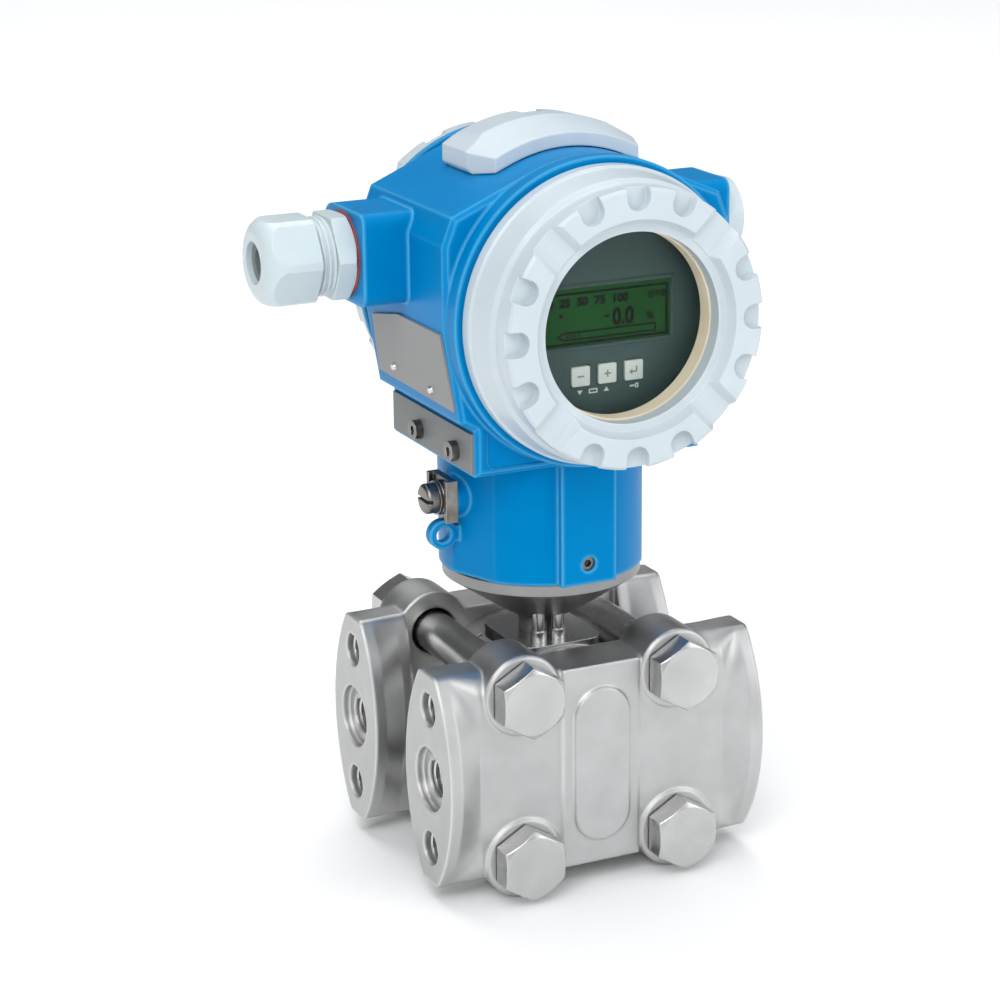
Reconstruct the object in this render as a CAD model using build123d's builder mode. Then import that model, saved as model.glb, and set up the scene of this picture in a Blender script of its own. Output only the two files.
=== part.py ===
"""Differential pressure transmitter: two process flanges clamp a sensor cell, and a turning
two-chamber housing with a display stands on its neck.

The origin is the centre of the four fastening holes on the process faces, -X points out of the
ports, +Z is up and -Y is the display's side. All sizes are in millimetres."""

import os
from math import acos, asin, atan2, cos, degrees, hypot, radians, sin

from build123d import *

# Main axes
axis_x = 48.0
drum_z = 129.0
cable_y = 5.9
cable_rise = 14.0

# Clearances
running_gap = 0.3
thread_gap = 0.1
pin_gap = 0.03
seat_gap = 0.1

# Process connection on the left faces
port_pitch = 54.0
fastening_pitch = 41.3
fastening_r = 4.95
fastening_depth = 14.0
port_seat_r = 9.2
port_seat_depth = 2.4
port_r = 5.6
port_depth = 13.5
passage_r = 2.2
vent_socket_af = 6.0
vent_socket_depth = 5.0

# Process flanges
flange_length = 98.0
flange_gap = 45.0
flange_thickness = 15.5
column_drop = 0.8
plate_half_height = 29.5
plate_edge_r = 2.5
centre_strip = 24.0
pad_width = 17.5
pad_height = 46.0
pad_rise = 1.2
pad_edge_r = 0.8
end_face_length = 3.5
end_half_width = 15.5
end_half_height = 31.0
end_tip_half_width = 5.0
end_shift = 0.7
end_corner_r = 2.5
shoulder_length = 11.0
shoulder_corner_r = 7.7
block_corner_r = 8.0
port_block_length = 14.5
port_block_y = 15.5
port_block_bow = 6.0
chamber_r = 19.5
chamber_depth = 1.6
seal_inner_r = 21.0
seal_outer_r = 24.6
seal_depth = 1.6

# Bolts through both flanges
bolt_pitch_x = 48.0
bolt_pitch_z = 48.2
bolt_r = 6.0
bolt_hole_gap = 1.0
bolt_boss_r = 11.7
bolt_boss_chamfer = 0.7
bolt_af = 18.0
bolt_head = 7.5
bolt_washer_r = 8.4
bolt_washer = 0.4
bolt_end = 2.0
nut_height = 10.0
hex_chamfer = 1.1
hex_chamfer_angle = 60.0
bolt_hex_turn = 30.0

# Sensor cell
cell_r = 27.5
weld_groove = 1.0
weld_groove_y = 13.0
saddle_half_x = 13.0
saddle_half_y = 15.0
saddle_corner_r = 5.0
saddle_z = 28.4
diaphragm_r = 19.5
diaphragm_seat_depth = 1.2
diaphragm_thickness = 0.35
ripple_height = 0.3
ripple_width = 2.4
ripple_count = 3
fill_tube_x = (-5.6, 0.4)
fill_tube_y = -9.6
fill_tube_r = 1.9
fill_collar_r = 2.4
fill_collar = 3.0
fill_tube_top = 40.0

# Sensor neck
pillar_r = 6.6
pillar_top = 31.5
cone_start_r = 11.0
cone_start_z = 35.5
neck_ring_r = 28.4
neck_ring_bottom = 47.3
neck_ring_top = 50.5
stem_r = 23.5
stem_wall = 3.5
stem_top = 72.0
stem_floor = 54.0
lock_groove_depth = 1.4
lock_groove_half = 2.2
neck_seal_z = 63.0
neck_seal_half = 1.2
neck_seal_depth = 1.4
sensor_board_z = 66.0
board_thickness = 1.6

# Housing neck
neck_r = 29.3
neck_flat = 28.2
neck_flat_angle = 68.0
lower_block_z = 86.0
lower_block_half = 34.3
front_pad_half = 8.4
front_pad_y = 30.5
lock_screw_z = 56.5
lock_screw_r = 2.0
lock_screw_socket_af = 2.0
lock_screw_inset = 0.8
passage_hole_r = 8.0
passage_hole_y = -21.0

# Housing drum
drum_r = 42.0
shoulder_half = 40.0
shoulder_z = 157.5
flank_half = 42.9
flank_top_z = 150.0
flank_bottom_z = 127.0
facet_half = 38.6
facet_z = 101.5
facet_step_z = 99.0
drum_front = 31.0
drum_back = 27.0
drum_edge = 1.2
drum_back_chamfer = 3.0
collar_r = 42.5
front_collar = 5.5
back_collar = 1.3
bore_r = 37.0
partition_front = -10.0
partition_back = -6.0

# Cable entries
entry_face = 56.0
entry_width = 28.0
entry_height = 25.4
entry_edge_r = 3.0
entry_back_r = 7.0
entry_r = 10.0
seal_ring = 0.6
seal_ring_r = 11.9
gland_af = 22.3
gland_hex = 5.5
gland_thread = 12.0
gland_neck_r = 10.4
gland_neck = 9.0
gland_bore_r = 7.4
nut_start = 66.8
nut_length = 15.4
nut_af = 22.8
nut_wall = 1.9
nut_hex_r = 12.6
nut_dome = 6.5
nut_mouth_r = 5.8
nut_face_r = 8.0
insert_r = 7.0
insert_bore_r = 4.0
insert_length = 14.0
nut_lip = 2.0
plug_hex = 6.3
plug_taper = 15.0
plug_dimple_r = 8.5
plug_dimple = 1.5

# Screw covers
cover_r = 40.7
cover_rim = 4.2
cover_rim_step = 0.6
cover_skirt_r = 38.8
spigot_gap = 0.3
spigot_wall = 3.7
spigot_length = 8.0
cover_seal_width = 2.0
cover_seal_depth = 1.5
skirt_front = 50.0
ring_foot = 52.6
ring_back_r = 36.6
ring_face = 56.0
arc_face = 59.0
lobe_r = 37.7
lobe_bevel = 0.8
arc_inner_r = 27.8
arc_bevel = 1.6
window_r = 25.7
window_wall = 4.5
cement_r = 25.3
cement_length = 5.0
glass_r = 27.6
glass_thickness = 4.0
cover_cavity_r = 32.2
scoops_per_arc = 3
arc_count = 4
scoop_r = 3.4
scoop_inner_r = 31.5
scoop_floor = 56.3
gap_width = 7.0
gap_flank = 2.2
gap_floor = 56.4
gap_taper = 35.0
back_cover_r = 41.6
back_cover_face = 38.0
back_cover_wall = 3.5
back_cover_bevel = 2.5
back_scoop_r = 4.0
back_scoop_centre_r = 43.6

# Key flap and outer keys
flap_front = 18.0
flap_back = 8.0
flap_height = 6.7
flap_back_drop = 0.5
flap_front_height = 3.7
flap_slope = 14.0
flap_wall = 1.8
flap_front_wall = 2.4
flap_back_lift = 1.2
flap_facet_angle = 22.5
flap_end_run = 6.6
flap_end_drop = 4.1
flap_corner_in = 3.8
flap_corner_back = 10.0
pedestal_rise = 2.3
pedestal_back = 0.8
pedestal_margin = 2.0
flap_pin_y = 5.5
flap_pin_rise = 3.9
flap_pin_r = 1.0
flap_pin_half = 7.0
hinge_lug_half = 3.0
hinge_lug_r = 2.0
key_shelf_half_x = 14.0
key_shelf_back = -0.4
key_shelf_front = -11.3
key_spacing = 10.0
outer_key_y = -6.8
outer_key_r = 3.0
outer_key_rise = 1.6
outer_key_chamfer = 0.5
outer_key_foot = 1.8
outer_key_sink = 3.4
gasket_thickness = 0.8

# Display unit
bezel_r = 31.0
bezel_face = 40.0
bezel_plate = 2.0
bezel_wall = 2.0
bezel_back = 28.0
lcd_width = 38.8
lcd_height = 15.9
lcd_z = 129.75
lcd_recess = 0.4
lcd_frame = 2.6
lcd_frame_depth = 2.4
display_key_size = 5.4
display_key_spacing = 8.0
display_key_z = 113.6
display_key_proud = 0.7
display_key_foot = 1.0
display_key_corner = 0.4
display_board_y = 34.4
hub_r = 6.0

# Electronics behind the display
insert_cup_r = 34.0
insert_cup_front = 27.7
insert_cup_wall = 2.0
main_board_y = 18.0
insert_screw_x = 26.5
insert_screw_r = 1.5
insert_screw_head_r = 2.7
insert_screw_head = 1.6
insert_screw_depth = 3.0

# Wiring chamber
terminal_width = 38.0
terminal_height = 18.0
terminal_depth = 12.0
terminal_corner = 1.2
terminal_step = 4.0
terminal_step_height = 9.0
terminal_z = 112.0
terminal_count = 5
terminal_pitch = 7.4
terminal_hole_r = 2.4
terminal_hole_drop = 3.0
terminal_hole_depth = 6.0
terminal_screw_r = 2.2
terminal_screw_depth = 3.0
terminal_wire_r = 1.6
terminal_wire_depth = 6.0
inner_ground_x = 25.0
inner_ground_z = 116.0
inner_ground_r = 2.0
inner_ground_head_r = 3.8
inner_ground_head = 2.6

# Plates on the left side
plate_thickness = 0.8
name_plate_points = ((18.6, 122.4), (-0.8, 126.3), (-28.6, 126.2), (-29.2, 104.9), (21.0, 105.6))
rivet_points = ((8.5, 109.1), (-16.1, 108.1))
rivet_r = 1.2
rivet_rise = 0.8
rivet_taper = 25.0
rivet_depth = 2.5
lower_plate_front = 29.7
lower_plate_back = 23.1
lower_plate_bottom = 86.9
lower_plate_top = 98.0
lower_screw_y = (4.6, -19.5)
lower_screw_z = 91.2
lower_screw_r = 1.7
lower_screw_head_r = 2.8
lower_screw_head = 2.4
lower_screw_depth = 4.0
lower_screw_socket_af = 2.5
lower_screw_socket_depth = 1.2

# Outside earth terminal and tag lug on the neck
ground_y = -4.0
ground_z = 73.5
ground_boss_r = 6.0
ground_boss_face = 30.6
ground_screw_r = 2.4
ground_screw_depth = 5.5
ground_head_r = 4.3
ground_head = 3.4
ground_head_round = 1.1
ground_slot = 1.1
ground_slot_depth = 1.6
clamp_half_y = 6.6
clamp_height = 12.0
clamp_thickness = 2.2
clamp_lip = 1.4
clamp_lip_width = 1.5
washer_r = 4.9
washer_thickness = 1.1
washer_count = 2
lug_x = 33.0
lug_y = -4.5
lug_z = 62.8
lug_r = 4.2
lug_hole_r = 2.2
lug_half = 1.5
lug_root_x = 27.5

# Values that follow from the sizes above
cable_z = drum_z + cable_rise
flange_inner = flange_gap / 2
flange_outer = flange_inner + flange_thickness
port_y = port_pitch / 2
end_y = port_y - end_shift
bolt_hole_r = bolt_r + bolt_hole_gap
housing_bottom = neck_ring_top + running_gap
stem_bore_r = stem_r - stem_wall
neck_bore_r = stem_r + running_gap
collar_front = drum_front + front_collar
collar_back = drum_back + back_collar
spigot_r = bore_r - spigot_gap
spigot_inner_r = spigot_r - spigot_wall
cover_back = collar_front + running_gap
spigot_end = cover_back - spigot_length
rear_cover_front = collar_back + running_gap
rear_spigot_end = rear_cover_front - spigot_length
window_back = ring_face - window_wall
cement_back = window_back - cement_length
glass_back = cement_back - glass_thickness
entry_thread_r = entry_r - thread_gap
gland_face = entry_face + seal_ring
gland_hex_face = gland_face + gland_hex
nut_bore_r = gland_neck_r + thread_gap
nut_end = nut_start + nut_length
insert_end = nut_end - nut_lip
pin_bore_r = flap_pin_r + pin_gap
scoop_step = 360.0 / (arc_count * (scoops_per_arc + 1))
flap_low_r = drum_r + running_gap
flap_top_r = flap_low_r + flap_height
flap_pin_z = drum_z + drum_r + flap_pin_rise
key_shelf_z = drum_z + drum_r
key_columns = (-1, 0, 1)
key_places = ("left", "middle", "right")
sides = (-1, 1)


def across(x, y=0.0, z=0.0):
    """A plane square to X: its x runs along +Y and its y along +Z."""
    return Plane(origin=(x, y, z), x_dir=(0, 1, 0), z_dir=(1, 0, 0))


def facing_front(y, z=0.0):
    """A plane square to Y on the neck's axis: its x runs along +X, its y up, its normal to the front."""
    return Plane(origin=(axis_x, y, z), x_dir=(1, 0, 0), z_dir=(0, -1, 0))


def level(z, y=0.0):
    """A level plane on the neck's axis, x along +X and y along +Y."""
    return Plane(origin=(axis_x, y, z), x_dir=(1, 0, 0), z_dir=(0, 0, 1))


def swung(angle):
    """A half plane through the drum's axis, turned from upright: x along +Y, y away from the axis."""
    lean = radians(angle)
    return Plane(origin=(axis_x, 0, drum_z), x_dir=(0, 1, 0), z_dir=(cos(lean), 0, -sin(lean)))


def polar(radius, angle):
    """A point at a radius and an angle from upright, as x and height above the drum's axis."""
    return radius * sin(radians(angle)), radius * cos(radians(angle))


# Sections through the three main axes, for turned pieces
neck_section = Plane(origin=(axis_x, 0, 0), x_dir=(1, 0, 0), z_dir=(0, -1, 0))
drum_section = across(axis_x, 0, drum_z)
cable_section = Plane(origin=(axis_x, cable_y, cable_z), x_dir=(1, 0, 0), z_dir=(0, -1, 0))
neck_axis = Axis((axis_x, 0, 0), (0, 0, 1))
drum_axis = Axis((axis_x, 0, drum_z), (0, 1, 0))
cable_axis = Axis((axis_x, cable_y, cable_z), (1, 0, 0))

# Front flange, a cast plate with a pointed oval block at each end
plate_top_y = flange_outer - column_drop
right_face = flange_length
left_bolt_x = axis_x - bolt_pitch_x / 2
right_bolt_x = axis_x + bolt_pitch_x / 2
block_tip_y = port_block_y + port_block_bow

with BuildPart() as front_flange:
    with BuildSketch(facing_front(-flange_inner)):
        Rectangle(bolt_pitch_x + bolt_boss_r, 2 * plate_half_height)
    extrude(amount=plate_top_y - flange_inner)
    outer_edges = front_flange.edges().filter_by(Axis.X).group_by(Axis.Y)[0]
    fillet(outer_edges, radius=plate_edge_r)
    with BuildSketch(facing_front(-flange_inner)):
        Rectangle(centre_strip, 2 * plate_half_height)
    extrude(amount=flange_thickness)
    with BuildSketch(facing_front(-flange_inner)):
        with GridLocations(bolt_pitch_x, bolt_pitch_z, 2, 2):
            Circle(bolt_boss_r)
    extrude(amount=flange_thickness)
    chamfer(
        front_flange.edges().filter_by(GeomType.CIRCLE).group_by(Axis.Y)[0],
        length=bolt_boss_chamfer,
    )
    with BuildSketch(facing_front(-flange_outer)):
        SlotOverall(pad_height, pad_width, rotation=90)
    extrude(amount=pad_rise)
    fillet(front_flange.faces().sort_by(Axis.Y)[0].edges(), radius=pad_edge_r)
    for face_x, inward, bolt_x in ((0.0, 1, left_bolt_x), (right_face, -1, right_bolt_x)):
        with BuildSketch(across(face_x)) as end_face:
            with BuildLine():
                ThreePointArc(
                    (-end_y + end_tip_half_width, -end_half_height),
                    (-end_y + end_half_width, 0),
                    (-end_y + end_tip_half_width, end_half_height),
                )
                Line(
                    (-end_y + end_tip_half_width, end_half_height),
                    (-end_y - end_tip_half_width, end_half_height),
                )
                ThreePointArc(
                    (-end_y - end_tip_half_width, end_half_height),
                    (-end_y - end_half_width, 0),
                    (-end_y - end_tip_half_width, -end_half_height),
                )
                Line(
                    (-end_y - end_tip_half_width, -end_half_height),
                    (-end_y + end_tip_half_width, -end_half_height),
                )
            make_face()
            fillet(end_face.vertices(), radius=end_corner_r)
        extrude(amount=inward * end_face_length)
        with BuildSketch(across(face_x + inward * end_face_length)):
            add(end_face.sketch_local)
        with BuildSketch(across(face_x + inward * shoulder_length)) as block:
            with BuildLine():
                ThreePointArc(
                    (-block_tip_y, -end_half_height),
                    (-port_block_y, 0),
                    (-block_tip_y, end_half_height),
                )
                Polyline(
                    (-block_tip_y, end_half_height),
                    (-plate_top_y, end_half_height),
                    (-plate_top_y, -end_half_height),
                    (-block_tip_y, -end_half_height),
                )
            make_face()
            fillet(block.vertices().group_by(Axis.X)[0], radius=block_corner_r)
            fillet(block.vertices().group_by(Axis.X)[-1], radius=end_corner_r)
        loft()
        with BuildSketch(across(face_x + inward * shoulder_length)):
            add(block.sketch_local)
        extrude(amount=inward * (port_block_length - shoulder_length))
        with BuildSketch(across(face_x + inward * port_block_length)) as shoulder:
            with Locations((-(flange_inner + plate_top_y) / 2, 0)):
                Rectangle(plate_top_y - flange_inner, 2 * end_half_height)
            fillet(shoulder.vertices().group_by(Axis.X)[0], radius=shoulder_corner_r)
        extrude(amount=bolt_x - face_x - inward * port_block_length)
    with BuildSketch(facing_front(-flange_inner)):
        with GridLocations(bolt_pitch_x, bolt_pitch_z, 2, 2):
            Circle(bolt_hole_r)
    extrude(amount=flange_thickness, mode=Mode.SUBTRACT)
    with BuildSketch(facing_front(-flange_inner)):
        Circle(chamber_r)
    extrude(amount=chamber_depth, mode=Mode.SUBTRACT)
    with BuildSketch(facing_front(-flange_inner)):
        Circle(seal_outer_r)
        Circle(seal_inner_r, mode=Mode.SUBTRACT)
    extrude(amount=seal_depth, mode=Mode.SUBTRACT)
    for z in (-fastening_pitch / 2, fastening_pitch / 2):
        with BuildSketch(across(0, -port_y, z)):
            Circle(fastening_r)
        extrude(amount=fastening_depth, mode=Mode.SUBTRACT)
    with BuildSketch(across(0, -port_y)):
        Circle(port_seat_r)
    extrude(amount=port_seat_depth, mode=Mode.SUBTRACT)
    with BuildSketch(across(0, -port_y)):
        Circle(port_r)
    extrude(amount=port_depth, mode=Mode.SUBTRACT)
    with BuildSketch(across(right_face, -port_y)):
        Circle(port_r)
    extrude(amount=-port_depth, mode=Mode.SUBTRACT)
    with BuildSketch(across(0, -port_y)):
        Circle(passage_r)
    extrude(amount=flange_length, mode=Mode.SUBTRACT)
    with BuildSketch(facing_front(-flange_inner)):
        Circle(passage_r)
    extrude(amount=port_y - flange_inner, mode=Mode.SUBTRACT)

# Rear flange, the front one mirrored
with BuildPart() as rear_flange:
    mirror(front_flange.part, about=Plane.XZ)

# Plugs in the vent ports on the right faces
with BuildPart() as vent_plugs:
    for side in sides:
        with BuildSketch(across(right_face, side * port_y)):
            Circle(port_r - thread_gap)
        extrude(amount=-port_depth)
        with BuildSketch(across(right_face, side * port_y)):
            RegularPolygon(vent_socket_af / 2, 6, major_radius=False)
        extrude(amount=-vent_socket_depth, mode=Mode.SUBTRACT)

# Bolts from the front face to behind the rear nuts
with BuildPart() as flange_bolts:
    with BuildSketch(facing_front(-flange_outer - bolt_washer)):
        with GridLocations(bolt_pitch_x, bolt_pitch_z, 2, 2):
            RegularPolygon(bolt_af / 2, 6, major_radius=False, rotation=bolt_hex_turn)
    extrude(amount=bolt_head - bolt_washer)
    with BuildSketch(facing_front(-flange_outer)):
        with GridLocations(bolt_pitch_x, bolt_pitch_z, 2, 2):
            Circle(bolt_washer_r)
    extrude(amount=bolt_washer)
    with BuildSketch(facing_front(-flange_outer - bolt_head)):
        with GridLocations(bolt_pitch_x, bolt_pitch_z, 2, 2):
            Circle(bolt_af / 2 - hex_chamfer / 4)
    extrude(amount=-bolt_head, taper=-hex_chamfer_angle, mode=Mode.INTERSECT)
    with BuildSketch(facing_front(-flange_outer)):
        with GridLocations(bolt_pitch_x, bolt_pitch_z, 2, 2):
            Circle(bolt_r)
    extrude(amount=-(2 * flange_outer + nut_height + bolt_end))

with BuildPart() as flange_nuts:
    with BuildSketch(facing_front(flange_outer)):
        with GridLocations(bolt_pitch_x, bolt_pitch_z, 2, 2):
            RegularPolygon(bolt_af / 2, 6, major_radius=False, rotation=bolt_hex_turn)
    extrude(amount=-nut_height)
    with BuildSketch(facing_front(flange_outer + nut_height)):
        with GridLocations(bolt_pitch_x, bolt_pitch_z, 2, 2):
            Circle(bolt_af / 2)
    extrude(amount=nut_height, taper=-hex_chamfer_angle, mode=Mode.INTERSECT)
    with BuildSketch(facing_front(flange_outer)):
        with GridLocations(bolt_pitch_x, bolt_pitch_z, 2, 2):
            Circle(bolt_r + seat_gap)
    extrude(amount=-nut_height, mode=Mode.SUBTRACT)

# Sensor cell between the flanges, with a saddle for the neck
with BuildPart() as cell_body:
    with BuildSketch(facing_front(-flange_inner)):
        Circle(cell_r)
    extrude(amount=-flange_gap)
    with BuildSketch(level(0)):
        RectangleRounded(2 * saddle_half_x, 2 * saddle_half_y, saddle_corner_r)
    extrude(amount=saddle_z)
    for side in sides:
        with BuildSketch(facing_front(side * weld_groove_y + weld_groove / 2)):
            Circle(cell_r + saddle_z)
            Circle(cell_r - weld_groove, mode=Mode.SUBTRACT)
            with Locations((0, saddle_z)):
                Rectangle(2 * saddle_half_x, 2 * saddle_z, mode=Mode.SUBTRACT)
        extrude(amount=weld_groove, mode=Mode.SUBTRACT)
        with BuildSketch(facing_front(side * flange_inner)):
            Circle(diaphragm_r + seat_gap)
        extrude(amount=side * diaphragm_seat_depth, mode=Mode.SUBTRACT)


def diaphragm_disc(side):
    """Half section of a rippled disc on one face of the cell, as points along Y and outward."""
    seat = side * (flange_inner - diaphragm_seat_depth)
    low = seat
    high = seat + side * diaphragm_thickness
    points = [(low, 0), (high, 0)]
    pitch = diaphragm_r / (ripple_count + 1)
    for ripple in range(1, ripple_count + 1):
        middle = ripple * pitch
        points.append((high, middle - ripple_width / 2))
        points.append((high + side * ripple_height, middle))
        points.append((high, middle + ripple_width / 2))
    points.append((high, diaphragm_r))
    points.append((low, diaphragm_r))
    return points


with BuildPart() as high_side_diaphragm:
    with BuildSketch(across(axis_x)):
        Polygon(*diaphragm_disc(-1), align=None)
    revolve(axis=Axis((axis_x, 0, 0), (0, 1, 0)))

with BuildPart() as low_side_diaphragm:
    with BuildSketch(across(axis_x)):
        Polygon(*diaphragm_disc(1), align=None)
    revolve(axis=Axis((axis_x, 0, 0), (0, 1, 0)))

with BuildPart() as flange_seals:
    for side in sides:
        with BuildSketch(facing_front(side * flange_inner)):
            Circle(seal_outer_r - seat_gap)
            Circle(seal_inner_r + seat_gap, mode=Mode.SUBTRACT)
        extrude(amount=-side * (seal_depth - seat_gap))

# Two capped fill tubes that stand on the saddle and end inside the neck's cone
with BuildPart() as fill_tubes:
    for tube_x in fill_tube_x:
        with BuildSketch(level(saddle_z, fill_tube_y)):
            with Locations((tube_x, 0)):
                Circle(fill_tube_r)
        extrude(amount=fill_tube_top - saddle_z)
        with BuildSketch(level(saddle_z, fill_tube_y)):
            with Locations((tube_x, 0)):
                Circle(fill_collar_r)
        extrude(amount=fill_collar)

# Sensor neck: pillar, cone, ring and the stem that the housing turns on
with BuildPart() as sensor_neck:
    with BuildSketch(neck_section):
        with BuildLine():
            Polyline((0, saddle_z), (pillar_r, saddle_z), (pillar_r, pillar_top))
            ThreePointArc(
                (pillar_r, pillar_top),
                (
                    pillar_r + (cone_start_r - pillar_r) * (1 - cos(radians(45))),
                    pillar_top + (cone_start_z - pillar_top) * sin(radians(45)),
                ),
                (cone_start_r, cone_start_z),
            )
            Polyline(
                (cone_start_r, cone_start_z),
                (neck_ring_r, neck_ring_bottom),
                (neck_ring_r, neck_ring_top),
                (stem_r, neck_ring_top),
                (stem_r, lock_screw_z - lock_groove_half),
                (stem_r - lock_groove_depth, lock_screw_z - lock_groove_half),
                (stem_r - lock_groove_depth, lock_screw_z + lock_groove_half),
                (stem_r, lock_screw_z + lock_groove_half),
                (stem_r, neck_seal_z - neck_seal_half),
                (stem_r - neck_seal_depth, neck_seal_z - neck_seal_half),
                (stem_r - neck_seal_depth, neck_seal_z + neck_seal_half),
                (stem_r, neck_seal_z + neck_seal_half),
                (stem_r, stem_top),
                (stem_bore_r, stem_top),
                (stem_bore_r, stem_floor),
                (0, stem_floor),
                (0, saddle_z),
            )
        make_face()
    revolve(axis=neck_axis)
    for tube_x in fill_tube_x:
        with BuildSketch(level(pillar_top, fill_tube_y)):
            with Locations((tube_x, 0)):
                Circle(fill_tube_r + seat_gap)
        extrude(amount=fill_tube_top + seat_gap - pillar_top, mode=Mode.SUBTRACT)

with BuildPart() as neck_seal:
    with BuildSketch(neck_section):
        with Locations((stem_r + (running_gap - neck_seal_depth) / 2, neck_seal_z)):
            Rectangle(neck_seal_depth + running_gap - 2 * seat_gap, 2 * (neck_seal_half - seat_gap))
    revolve(axis=neck_axis)

with BuildPart() as sensor_board:
    with BuildSketch(level(sensor_board_z)):
        Circle(stem_bore_r - seat_gap)
    extrude(amount=board_thickness)

# Outline of the drum, seen from the front: a round crown, sloped shoulders and a lower block
corner_reach = hypot(shoulder_half, shoulder_z - drum_z)
corner_angle = atan2(shoulder_z - drum_z, shoulder_half)
tangent_angle = corner_angle + acos(drum_r / corner_reach)
crown_x = drum_r * cos(tangent_angle)
crown_z = drum_z + drum_r * sin(tangent_angle)
facet_angle = degrees(atan2(flank_half - facet_half, flank_bottom_z - facet_z))
crown_angle = 90.0 - degrees(tangent_angle)

# The flap's ends: a straight facet down from the arch, then an upright face
flap_facet_x, flap_facet_rise = polar(flap_top_r, flap_facet_angle)
flap_end_x = flap_facet_x + flap_end_run
flap_end_rise = flap_facet_rise - flap_end_drop
flap_peak = flap_facet_rise + flap_end_drop * flap_facet_x / flap_end_run
flap_cavity_angle = degrees(asin((flap_end_x - 3 * flap_wall) / flap_low_r))
pedestal_angle = flap_cavity_angle - pedestal_margin

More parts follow.
